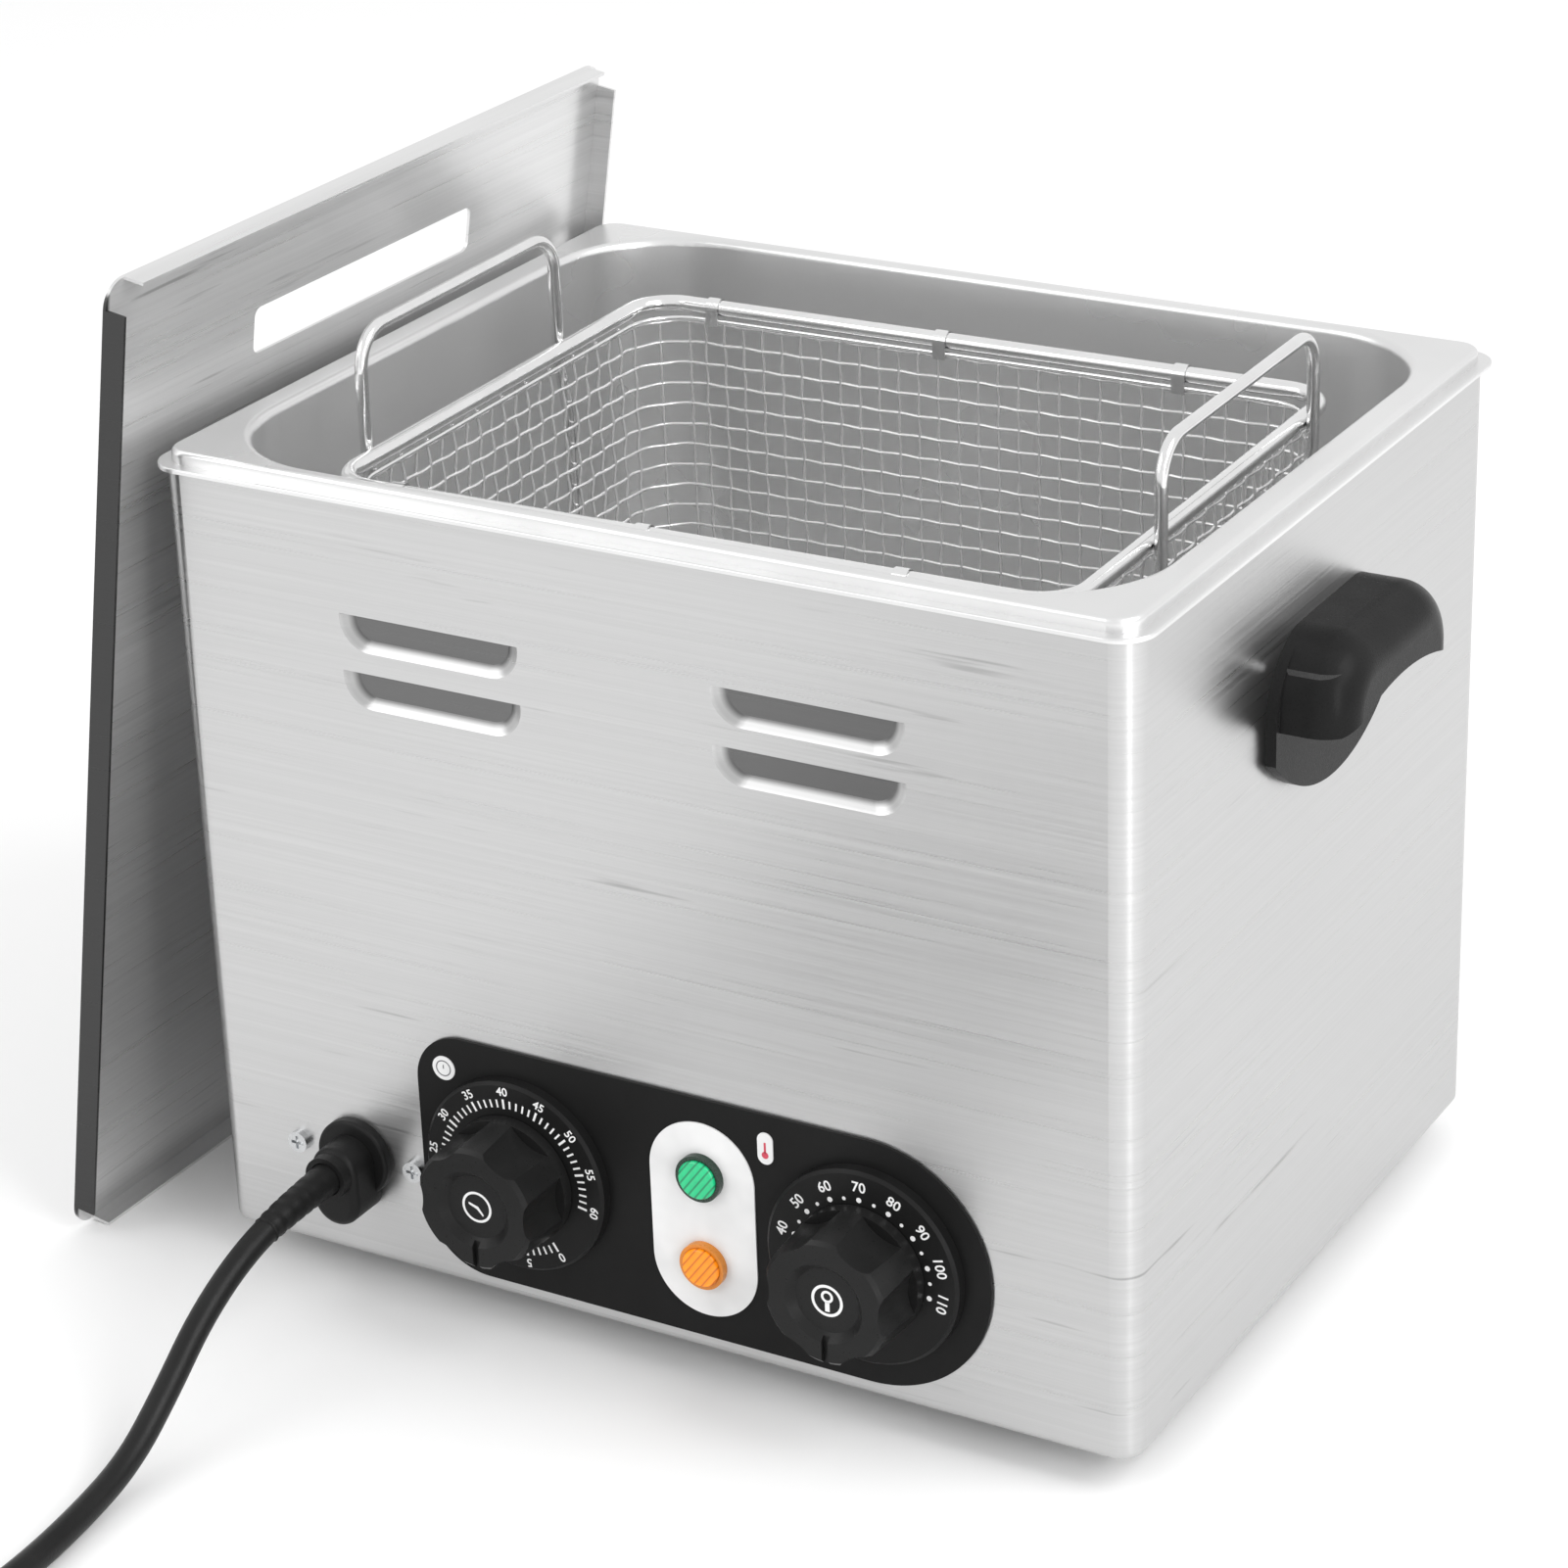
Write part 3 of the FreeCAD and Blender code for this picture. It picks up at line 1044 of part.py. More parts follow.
def draw_shield(sketch, left, right, low, shoulder, top, corner):
    """An outline with round upper corners, straight sides down to its shoulders and one arc below."""
    x0, x1, y0, y1, y2, r = (float(value) for value in (left, right, low, shoulder, top, corner))
    lines = (((x1, y1), (x1, y2 - r)), ((x1 - r, y2), (x0 + r, y2)), ((x0, y2 - r), (x0, y1)))
    for start, end in lines:
        sketch.addGeometry(Part.LineSegment(Vector(*start, 0), Vector(*end, 0)))
    for quarter, x in enumerate((x1 - r, x0 + r)):
        circle = Part.Circle(Vector(x, y2 - r, 0), Vector(0, 0, 1), r)
        begin = quarter * math.pi / 2
        sketch.addGeometry(Part.ArcOfCircle(circle, begin, begin + math.pi / 2))
    arc = Part.ArcOfCircle(Vector(x0, y1, 0), Vector((x0 + x1) / 2, y0, 0), Vector(x1, y1, 0))
    sketch.addGeometry(arc)
    for before, bend, after in ((0, 3, 1), (1, 4, 2)):
        sketch.addConstraint(Sketcher.Constraint("Tangent", before, 2, bend, 1))
        sketch.addConstraint(Sketcher.Constraint("Tangent", bend, 2, after, 1))
        index = sketch.addConstraint(Sketcher.Constraint("Radius", bend, r))
        sketch.renameConstraint(index, f"corner_{bend}")
        bind(sketch, {f"Constraints.corner_{bend}": corner})
    sketch.addConstraint(Sketcher.Constraint("Coincident", 2, 2, 5, 1))
    sketch.addConstraint(Sketcher.Constraint("Coincident", 5, 2, 0, 1))
    sketch.addConstraint(Sketcher.Constraint("Vertical", 0))
    sketch.addConstraint(Sketcher.Constraint("Horizontal", 1))
    sketch.addConstraint(Sketcher.Constraint("Vertical", 2))
    pin_down(sketch, "DistanceX", 0, 1, right, "right")
    pin_down(sketch, "DistanceX", 2, 1, left, "left")
    pin_down(sketch, "DistanceY", 1, 1, top, "top")
    pin_down(sketch, "DistanceY", 0, 1, shoulder, "shoulder_right")
    pin_down(sketch, "DistanceY", 2, 2, shoulder, "shoulder_left")
    half = (right - left) / 2
    drop = shoulder - low
    index = sketch.addConstraint(Sketcher.Constraint("Radius", 5, arc.Radius))
    sketch.renameConstraint(index, "sweep")
    bind(sketch, {"Constraints.sweep": (half * half + drop * drop) / (2 * drop)})


def draw_arch(sketch, middle, low, half, rise):
    """A shallow arch closed by its chord."""
    x, y, reach, up = (float(value) for value in (middle, low, half, rise))
    sketch.addGeometry(Part.LineSegment(Vector(x - reach, y, 0), Vector(x + reach, y, 0)))
    arc = Part.ArcOfCircle(Vector(x + reach, y, 0), Vector(x, y + up, 0), Vector(x - reach, y, 0))
    sketch.addGeometry(arc)
    sketch.addConstraint(Sketcher.Constraint("Coincident", 0, 2, 1, 1))
    sketch.addConstraint(Sketcher.Constraint("Coincident", 1, 2, 0, 1))
    pin_down(sketch, "DistanceX", 0, 1, middle - half, "left")
    pin_down(sketch, "DistanceX", 0, 2, middle + half, "right")
    pin_down(sketch, "DistanceY", 0, 1, low, "low_left")
    pin_down(sketch, "DistanceY", 0, 2, low, "low_right")
    index = sketch.addConstraint(Sketcher.Constraint("Radius", 1, arc.Radius))
    sketch.renameConstraint(index, "sweep")
    bind(sketch, {"Constraints.sweep": (half * half + rise * rise) / (2 * rise)})


def make_handle_screws():
    """Screws of the handle, from inside the casing out through its base."""
    long = D.handle_base_thick + D.sheet_thick + D.nut_high + D.sheet_thick
    screws = [
        screw(f"handle_screw{number}", D.screw_head_radius, D.screw_head_high, D.screw_shank_radius, long,
              (SIDE - D.sheet_thick, D.handle_y + side * D.handle_screw_gap, HANDLE_SCREW_Z), TO_X)
        for number, side in enumerate((-0.5, 0.5))]
    return piece(group("handle_screws_set", screws), "handle_screws")


def make_handle_nuts():
    """Nuts of the handle screws, up in the hood's hollow."""
    nuts = []
    for number, side in enumerate((-0.5, 0.5)):
        at = (SIDE + D.handle_base_thick, D.handle_y + side * D.handle_screw_gap, HANDLE_SCREW_Z)
        blank = hexagon(f"handle_nut_blank{number}", D.nut_radius, D.nut_high, at, TO_X)
        bore = rod(f"handle_nut_bore{number}", D.screw_shank_radius + D.shaft_fit, D.nut_high, at, TO_X)
        nuts.append(cut(f"handle_nut{number}", blank, bore))
    return piece(group("handle_nuts_set", nuts), "handle_nuts")


# ---- lid ----------------------------------------------------------------------------------------

def make_lid():
    """The folded lid: a plate with open corners, four flanges and a hand slot, leaning on the deck's lip."""
    body = new_body("lid")
    t = D.lid_thick
    plate = new_sketch(body, "XY_Plane", 0.0)
    draw_rounded(plate, 0.0, LID_LONG, -LID_WIDE / 2, LID_WIDE / 2, [D.lid_corner] * 4)
    pad(body, plate, t)
    side_long = LID_WIDE - 2 * D.lid_corner
    front_long = LID_LONG - 2 * D.lid_corner
    for x in (Size.of(0.0), LID_LONG - t):
        add_block(body, (t, side_long, D.lid_flange), (x, -side_long / 2, 0.0))
    for y in (-LID_WIDE / 2, LID_WIDE / 2 - t):
        add_block(body, (front_long, t, D.lid_flange), (D.lid_corner, y, 0.0))
    slot = new_sketch(body, "XY_Plane", 0.0)
    draw_centred(slot, D.slot_wide, D.slot_long, D.slot_corner, LID_LONG - D.slot_from_top, 0.0)
    pocket(body, slot, t, True)
    body.Placement = lid_seat()
    return piece(body, "lid")


def lid_seat():
    """Where the lid stands: its low flange on the worktop, its back flange or its plate against the lip."""
    yaw = Rotation(Vector(0, 0, 1), float(D.lid_yaw))
    stood = Rotation(Vector(0, 1, 0), float(D.lid_lean) - 90.0).multiply(Rotation(Vector(1, 0, 0), 180.0))
    turn = yaw.multiply(stood)
    up = turn.multVec(Vector(1, 0, 0))
    inward = turn.multVec(Vector(0, 0, 1))
    along = yaw.multVec(Vector(0, 1, 0))
    flange = float(D.lid_flange)
    foot = Vector(0, float(LID_FRONT), float(D.lid_lift) - flange * inward.z)
    level = float(CASING_TOP + D.lip_thick / 2)
    reach = float(D.bend_round + D.lip_over + D.lid_gap)
    corner = Vector(float(D.bend_round - SIDE), float(BACK - D.bend_round), 0)
    edge = foot + along * float(LID_WIDE - D.lid_thick) + inward * flange
    edge += up * ((level - edge.z) / up.z)
    across = max(0.0, edge.y - corner.y)
    if across >= reach:
        edge = foot + along * float(LID_WIDE) + inward * float(D.lid_thick)
        edge += up * ((level - edge.z) / up.z)
        across = 0.0
    foot.x = corner.x - math.sqrt(reach ** 2 - across ** 2) - edge.x
    return Placement(foot + along * float(LID_WIDE / 2), turn)


# ---- basket -------------------------------------------------------------------------------------

def basket_levels():
    """Heights of the basket's foot wires and of its floor."""
    foot = TANK_FLOOR + D.seat_gap + D.frame_wire / 2
    floor = foot + D.frame_wire / 2 + D.seat_gap / 3
    return foot, floor


def seat_basket(thing):
    """Place a basket piece about the basket's own upright axis, which stands a little turned in the tank."""
    place = Vector(float(D.basket_x), float(D.basket_y), 0)
    thing.Placement = Placement(place, Rotation(Vector(0, 0, 1), float(D.basket_turn)))
    bind(thing, {"Placement.Base.x": D.basket_x, "Placement.Base.y": D.basket_y})
    return thing


def make_basket_mesh():
    """The walls and floor of the basket: one thin open shell with a plain grid of openings."""
    body = new_body("basket_mesh")
    _, floor = basket_levels()
    top = RIM_TOP - D.rim_wire - D.seat_gap / 3
    outer = new_sketch(body, "XY_Plane", floor)
    draw_centred(outer, BASKET_WIDE, BASKET_LONG, D.basket_corner)
    pad(body, outer, top - floor)
    inner = new_sketch(body, "XY_Plane", top)
    t = D.mesh_thick
    draw_centred(inner, BASKET_WIDE - 2 * t, BASKET_LONG - 2 * t, D.basket_corner - t)
    pocket(body, inner, top - floor - t)
    round_edges(
        body, D.basket_floor_round - t, ring_at(floor + t, BASKET_WIDE - 2 * t, BASKET_LONG - 2 * t))
    round_edges(body, D.basket_floor_round, ring_at(floor, BASKET_WIDE, BASKET_LONG))
    cut_grid(body, floor, top)
    return piece(seat_basket(body), "basket_mesh")


def cut_grid(body, floor, top):
    """Openings through the flat stretches of the basket's four walls and of its floor."""
    wide = BASKET_WIDE - 2 * D.basket_corner
    long = BASKET_LONG - 2 * D.basket_corner
    low = floor + D.basket_floor_round
    column = wide / MESH_COLUMNS
    lane = long / MESH_LANES
    row = (top - D.band_high - low) / MESH_ROWS
    rib = D.mesh_rib
    past = D.mesh_thick
    for i in range(MESH_COLUMNS):
        x = column * i - wide / 2 + rib / 2
        for k in range(MESH_ROWS):
            remove_block(
                body, (column - rib, BASKET_LONG + 2 * past, row - rib),
                (x, -BASKET_LONG / 2 - past, low + row * k + rib / 2))
        for j in range(MESH_LANES):
            remove_block(
                body, (column - rib, lane - rib, 3 * past), (x, lane * j - long / 2 + rib / 2, floor - past))
    for j in range(MESH_LANES):
        y = lane * j - long / 2 + rib / 2
        for k in range(MESH_ROWS):
            remove_block(
                body, (BASKET_WIDE + 2 * past, lane - rib, row - rib),
                (-BASKET_WIDE / 2 - past, y, low + row * k + rib / 2))


def rounded_loop(wide, long, corner, level):
    """A closed wire round a rounded rectangle, starting in the middle of one side."""
    x, y, r, z = float(wide) / 2, float(long) / 2, float(corner), float(level)
    edges = []
    start = Vector(x, 0, z)
    corners = ((1, 1), (-1, 1), (-1, -1), (1, -1))
    upright = True
    for sx, sy in corners:
        centre = Vector(sx * (x - r), sy * (y - r), z)
        first = centre + (Vector(sx * r, 0, 0) if upright else Vector(0, sy * r, 0))
        last = centre + (Vector(0, sy * r, 0) if upright else Vector(sx * r, 0, 0))
        middle = centre + Vector(sx, sy, 0).normalize() * r
        edges.append(Part.LineSegment(start, first).toShape())
        edges.append(Part.Arc(first, middle, last).toShape())
        start = last
        upright = not upright
    edges.append(Part.LineSegment(start, Vector(x, 0, z)).toShape())
    return Part.Wire(edges)


def make_basket_rim():
    """The thick wire round the basket's top."""
    level = RIM_TOP - D.rim_wire / 2
    loop = rounded_loop(BASKET_WIDE, BASKET_LONG, D.basket_corner * 0.7, level)
    start = Vector(float(BASKET_WIDE) / 2, 0, float(level))
    ring = Part.Wire(Part.Circle(start, Vector(0, 1, 0), float(D.rim_wire) / 2).toShape())
    return piece(seat_basket(feature("basket_rim_sweep", loop.makePipe(Part.Face(ring)))), "basket_rim")


def make_basket_band():
    """The flat strip that folds over the mesh's top edge, inside the wall."""
    body = new_body("basket_band")
    t = D.mesh_thick
    top = RIM_TOP - D.rim_wire - D.seat_gap / 3
    strip = new_sketch(body, "XY_Plane", top - D.band_high)
    wide = BASKET_WIDE - 2 * t
    long = BASKET_LONG - 2 * t
    draw_centred(strip, wide, long, D.basket_corner - t)
    draw_centred(
        strip, wide - 2 * D.band_thick, long - 2 * D.band_thick, D.basket_corner - t - D.band_thick)
    pad(body, strip, D.band_high)
    return piece(seat_basket(body), "basket_band")


def make_basket_frame(side, label):
    """One bent wire: foot, up the wall outside the mesh, past the rim to the grip bar and back down."""
    foot, floor = (float(value) for value in basket_levels())
    wire = float(D.frame_wire)
    wall = float(BASKET_WIDE) / 2 + wire / 2 + float(D.seat_gap) / 3
    rim = float(BASKET_WIDE) / 2 + float(D.rim_wire) / 2 + wire / 2 + float(D.seat_gap) / 3
    rim_z = float(RIM_TOP)
    near = side * float(D.frame_shift) - float(D.frame_span) / 2
    far = near + float(D.frame_span)
    grip_z = rim_z + float(D.grip_high) - side * float(D.grip_uneven)
    start_x = wall - float(D.foot_bar_long)
    step = float(D.rim_wire) * 1.6
    leg = [(start_x, foot), (wall, foot), (wall, rim_z - 3 * step), (rim, rim_z - step), (rim, grip_z)]
    points = [Vector(side * x, near, z) for x, z in leg] + [Vector(side * x, far, z) for x, z in reversed(leg)]
    bend_wire = bent_wire(points, float(D.frame_bend), float(D.grip_bend), wire / 2)
    return piece(seat_basket(feature(f"{label}_sweep", bend_wire)), label)


def bent_wire(points, foot_bend, grip_bend, radius):
    """A round wire whose first, last and grip corners have their own radii and whose others are gentle."""
    last = len(points) - 2
    crown = len(points) // 2
    bends = {1: foot_bend, last: foot_bend, crown - 1: grip_bend, crown: grip_bend}
    gentle = 9.0 * radius
    edges = []
    start = points[0]
    for number in range(1, len(points) - 1):
        corner = points[number]
        back = points[number - 1] - corner
        ahead = points[number + 1] - corner
        half_turn = (math.pi - back.getAngle(ahead)) / 2
        bend = bends.get(number, gentle)
        reach = bend * math.tan(half_turn)
        back.normalize()
        ahead.normalize()
        inward = back + ahead
        inward.normalize()
        first = corner + back * reach
        end = corner + ahead * reach
        middle = corner + inward * (bend / math.cos(half_turn) - bend)
        edges.append(Part.LineSegment(start, first).toShape())
        edges.append(Part.Arc(first, middle, end).toShape())
        start = end
    edges.append(Part.LineSegment(start, points[-1]).toShape())
    path = Part.Wire(edges)
    heading = points[1] - points[0]
    heading.normalize()
    section = Part.Face(Part.Wire(Part.Circle(points[0], heading, radius).toShape()))
    return path.makePipe(section)


# ---- heater and thermostat bulb -----------------------------------------------------------------

def clamp_places():
    """Where the clamp studs stand under the tank."""
    y = ELEMENT_PITCH / 2 + D.element_radius + D.clamp_stud_radius * 2
    return [(side * CLAMP_BAR_X, end * y) for side in (-1, 1) for end in (-1, 1)]


def make_heat_spreader():
    """The aluminium plate between the tank floor and the element."""
    plate = block(
        "spreader_plate", (SPREADER_WIDE, SPREADER_LONG, D.spreader_thick),
        (-SPREADER_WIDE / 2, -SPREADER_LONG / 2, SPREADER_LOW))
    bores = [
        rod(f"spreader_bore{number}", D.clamp_stud_radius + D.clamp_fit, D.spreader_thick, (x, y, SPREADER_LOW))
        for number, (x, y) in enumerate(clamp_places())]
    return piece(cut("spreader_cut", plate, *bores), "heat_spreader")


def element_end_z():
    """Level of the element's two downturned ends."""
    return SPREADER_LOW - 6 * D.element_radius - D.shaft_fit


def make_heating_element():
    """The sheathed element: a hairpin under the spreader, its ends turned down for the leads."""
    radius = D.element_radius
    z = SPREADER_LOW - radius - D.shaft_fit
    x = ELEMENT_LEGS / 2
    y = ELEMENT_PITCH / 2
    drop = element_end_z()
    points = vectors([(-x, -y, drop), (-x, -y, z), (x, -y, z), (x, y, z), (-x, y, z), (-x, y, drop)])
    wire, _ = route_wire(points, float(D.element_bend))
    section = Part.Face(Part.Wire(Part.Circle(points[0], Vector(0, 0, 1), float(radius)).toShape()))
    return piece(feature("element_sweep", wire.makePipe(section)), "heating_element")


def make_clamp_bars():
    """Two bars that press the element against the spreader."""
    low = SPREADER_LOW - 2 * D.element_radius - 2 * D.shaft_fit - D.clamp_bar_thick
    long = ELEMENT_PITCH + 2 * D.element_radius + 8 * D.clamp_stud_radius
    bars = []
    for number, side in enumerate((-1, 1)):
        blank = block(
            f"clamp_blank{number}", (D.clamp_bar_wide, long, D.clamp_bar_thick),
            (side * CLAMP_BAR_X - D.clamp_bar_wide / 2, -long / 2, low))
        bores = [
            rod(f"clamp_bore{number}_{end}", D.clamp_stud_radius + D.clamp_fit, D.clamp_bar_thick, (x, y, low))
            for end, (x, y) in enumerate(clamp_places()[2 * number:2 * number + 2])]
        bars.append(cut(f"clamp_bar{number}", blank, *bores))
    return piece(group("clamp_bars_set", bars), "element_clamps")


def make_clamp_studs():
    """Studs under the tank, each with its nut below the clamp bar."""
    bar_low = SPREADER_LOW - 2 * D.element_radius - 2 * D.shaft_fit - D.clamp_bar_thick
    low = bar_low - D.clamp_nut_high - D.sheet_thick
    studs = [
        rod(f"clamp_stud{number}", D.clamp_stud_radius, TANK_UNDER - low, (x, y, low))
        for number, (x, y) in enumerate(clamp_places())]
    return piece(group("clamp_studs_set", studs), "clamp_studs")


def make_clamp_nuts():
    """Nuts under the clamp bars."""
    bar_low = SPREADER_LOW - 2 * D.element_radius - 2 * D.shaft_fit - D.clamp_bar_thick
    nuts = []
    for number, (x, y) in enumerate(clamp_places()):
        at = (x, y, bar_low - D.clamp_nut_high)
        blank = hexagon(f"clamp_nut_blank{number}", D.clamp_nut_radius, D.clamp_nut_high, at)
        bore = rod(f"clamp_nut_bore{number}", D.clamp_stud_radius + D.shaft_fit, D.clamp_nut_high, at)
        nuts.append(cut(f"clamp_nut{number}", blank, bore))
    return piece(group("clamp_nuts_set", nuts), "clamp_nuts")


def make_thermal_cutout():
    """The dry-boil cut-out, a disc switch under the middle of the spreader."""
    can = rod("cutout_can", D.cutout_radius, D.cutout_high, (0.0, 0.0, SPREADER_LOW - D.cutout_high))
    blades = [
        block(f"cutout_blade{number}", (D.pin_wide, D.pin_thick, D.cutout_high),
              (side * D.cutout_radius - D.pin_wide / 2, -D.pin_thick / 2,
               SPREADER_LOW - 2 * D.cutout_high + D.sheet_thick))
        for number, side in enumerate((-0.5, 0.5))]
    return piece(fuse("cutout_fuse", can, *blades), "thermal_cutout")


def bulb_axis():
    """Start of the thermostat bulb's axis."""
    return (D.thermostat_x - D.bulb_long, BULB_Y, TANK_UNDER - D.bulb_clip_thick - D.bulb_radius)


def make_thermostat_bulb():
    """The bulb that senses the tank from below."""
    return piece(rod("bulb_rod", D.bulb_radius, D.bulb_long, bulb_axis(), TO_X), "thermostat_bulb")


def make_bulb_clips():
    """Two clips that hold the bulb to the tank floor."""
    x, y, z = bulb_axis()
    clips = []
    high = 2 * D.bulb_radius + 2 * D.bulb_clip_thick
    for number, share in enumerate((0.2, 0.8)):
        blank = block(
            f"clip_blank{number}", (D.bulb_clip_wide, high, high),
            (x + share * D.bulb_long - D.bulb_clip_wide / 2, y - high / 2, TANK_UNDER - high))
        bore = rod(
            f"clip_bore{number}", D.bulb_radius + D.shaft_fit, D.bulb_clip_wide,
            (x + share * D.bulb_long - D.bulb_clip_wide / 2, y, z), TO_X)
        clips.append(cut(f"clip{number}", blank, bore))
    return piece(group("clips_set", clips), "bulb_clips")


def make_capillary():
    """The fine tube from the bulb back to the thermostat's body."""
    x, y, z = (float(value) for value in bulb_axis())
    end = x + float(D.bulb_long)
    radius = float(D.capillary_radius)
    rear = float(FRONT_INSIDE) + float(D.thermostat_body_long)
    level = float(CONTROL_Z) + float(D.thermostat_body_radius) / 2
    points = vectors([
        (end, y, z), (end + 16, y, z), (end + 22, y + 8, z - 22), (end - 4, rear + 22, level),
        (end - 4, rear, level)])
    return piece(feature("capillary_sweep", tube(points, radius)), "capillary_tube")


# ---- wiring -------------------------------------------------------------------------------------

def make_terminal_block():
    """The terminal block on the base plate."""
    blank = block(
        "terminal_blank", (D.terminal_wide, D.terminal_long, D.terminal_high),
        (TERMINAL_X - D.terminal_wide / 2, TERMINAL_Y - D.terminal_long / 2, BASE_TOP))
    bores = [
        rod(f"terminal_bore{number}", D.control_screw_shank + D.screw_fit, D.terminal_high,
            (TERMINAL_X + side * D.terminal_screw_gap, TERMINAL_Y, BASE_TOP))
        for number, side in enumerate((-0.5, 0.5))]
    return piece(cut("terminal_cut", blank, *bores), "terminal_block")


def make_terminal_screws():
    """The two screws that hold the terminal block down."""
    screws = []
    for number, side in enumerate((-0.5, 0.5)):
        at = (TERMINAL_X + side * D.terminal_screw_gap, TERMINAL_Y, BASE_TOP + D.terminal_high)
        head = rod(f"terminal_head{number}", D.control_screw_head, D.screw_head_high, at)
        long = D.terminal_high + 2 * D.sheet_thick
        shank = rod(
            f"terminal_shank{number}", D.control_screw_shank, long, (at[0], at[1], at[2] - long))
        screws.append(fuse(f"terminal_screw{number}", head, shank))
    return piece(group("terminal_screws_set", screws), "terminal_screws")


def make_earth_stud():
    """The earth stud up through the base plate, with its nut as one piece of hardware."""
    head = rod(
        "earth_head", D.earth_radius * 1.8, D.screw_head_high,
        (EARTH_X, EARTH_Y, BASE_LOW - D.screw_head_high))
    stud = rod("earth_rod", D.earth_radius, D.earth_long, (EARTH_X, EARTH_Y, BASE_LOW))
    nut = hexagon("earth_nut", D.nut_radius + D.sheet_thick, D.nut_high, (EARTH_X, EARTH_Y, BASE_TOP))
    return piece(fuse("earth_fuse", head, stud, nut), "earth_stud")


def square_route(start, start_way, end, end_way, run):
    """A route that leaves one face and enters another squarely."""
    first = Vector(*start)
    last = Vector(*end)
    return [first, first + Vector(*start_way) * run, last + Vector(*end_way) * run, last]


def make_leads():
    """Insulated leads between the inlet, the terminals, the controls and the heater."""
    radius = float(D.lead_radius)
    spacing = 2 * radius + 0.6
    inlet_y = float(FRONT_INSIDE + D.inlet_tail_long)
    terminal_x = float(TERMINAL_X)
    front_y = float(TERMINAL_Y - D.terminal_long / 2)
    rear_y = float(TERMINAL_Y + D.terminal_long / 2)
    level = float(BASE_TOP + D.terminal_high / 2)
    pole = float(D.terminal_wide) / 5
    timer = Vector(float(D.timer_x), float(FRONT_INSIDE + D.timer_body_long), float(CONTROL_Z))
    stat = Vector(float(D.thermostat_x), float(FRONT_INSIDE + D.thermostat_body_long), float(CONTROL_Z))
    element = Vector(-float(ELEMENT_LEGS) / 2, float(ELEMENT_PITCH) / 2, float(element_end_z()))
    back = (0, 1, 0)
    front = (0, -1, 0)
    down = (0, 0, -1)
    routes = []
    for step in (-1, 0, 1):
        start = (float(D.inlet_x) + step * spacing, inlet_y, float(INLET_Z))
        routes.append(square_route(start, back, (terminal_x + step * pole, front_y, level), front, 14.0))
    routes.append(square_route(
        (terminal_x + pole, rear_y, level), back, (timer.x, timer.y, timer.z + 8.0), back, 22.0))
    routes.append(square_route(
        (timer.x + 12.0, timer.y, timer.z), back, (stat.x - 8.0, stat.y, stat.z - 6.0), back, 20.0))
    routes.append(square_route(
        (terminal_x - pole, rear_y, level), back, (element.x, element.y, element.z), down, 26.0))
    routes.append(square_route(
        (stat.x + 4.0, stat.y, stat.z - 10.0), back, (element.x, -element.y, element.z), down, 30.0))
    leads = [feature(f"lead{number}", tube(route, radius)) for number, route in enumerate(routes)]
    return piece(group("leads_set", leads), "internal_leads")


# ---- mains lead ---------------------------------------------------------------------------------

CORD_ROUTE = (
    (-107.5, -141.5, 48.5), (-107.5, -160.0, 48.5), (-110.0, -182.0, 43.3), (-110.6, -206.0, 32.5),
    (-108.5, -229.0, 18.5), (-106.5, -251.0, 7.6), (-104.5, -277.0, 4.6), (-102.5, -307.0, 4.4),
    (-104.0, -338.0, 4.8), (-107.4, -368.0, 5.1), (-108.4, -396.0, 5.2),
)


def make_power_cord():
    """The stretch of cord from the boot down to the worktop and along it to the coil."""
    return piece(feature("cord_sweep", tube(vectors(CORD_ROUTE), float(D.cord_radius))), "power_cord")


def coil_low():
    """Underside of the stored coil, which lies on its tie."""
    return D.tie_thick


def coil_half_wide():
    """Half the width of the ring of stored turns."""
    return D.coil_strands * D.cord_radius


def make_cord_coil():
    """The outer shape of the stored turns: a ring of two layers that spiral in and out again."""
    body = new_body("cord_coil")
    outline = new_sketch(body, "XY_Plane", coil_low())
    draw_circle(outline, D.coil_x, D.coil_y, D.coil_turn_radius + coil_half_wide())
    draw_circle(outline, D.coil_x, D.coil_y, D.coil_turn_radius - coil_half_wide())
    pad(body, outline, D.coil_layers * 2 * D.cord_radius)
    round_edges(body, D.cord_radius * 0.9, lambda box: box.ZLength < 0.01)
    return piece(body, "cord_coil")


def make_cord_tie():
    """The strap round the coil's section that holds its turns."""
    t = D.tie_thick
    wide = 2 * coil_half_wide()
    high = D.coil_layers * 2 * D.cord_radius
    low = coil_low() - t
    x = D.coil_x + D.coil_turn_radius - coil_half_wide() - t
    y = D.coil_y - D.tie_wide / 2
    outer = block("tie_outer", (wide + 2 * t, D.tie_wide, high + 2 * t), (x, y, low))
    inner = block("tie_inner", (wide, D.tie_wide, high), (x + t, y, low + t))
    return piece(cut("tie_cut", outer, inner), "cord_tie")


def plug_middle():
    """Start of the plug's neck, where the cord's last turn leaves the coil."""
    level = coil_low() + 3 * D.cord_radius
    return (D.coil_x + D.plug_lead, D.coil_y - D.coil_turn_radius - coil_half_wide() + D.cord_radius, level)


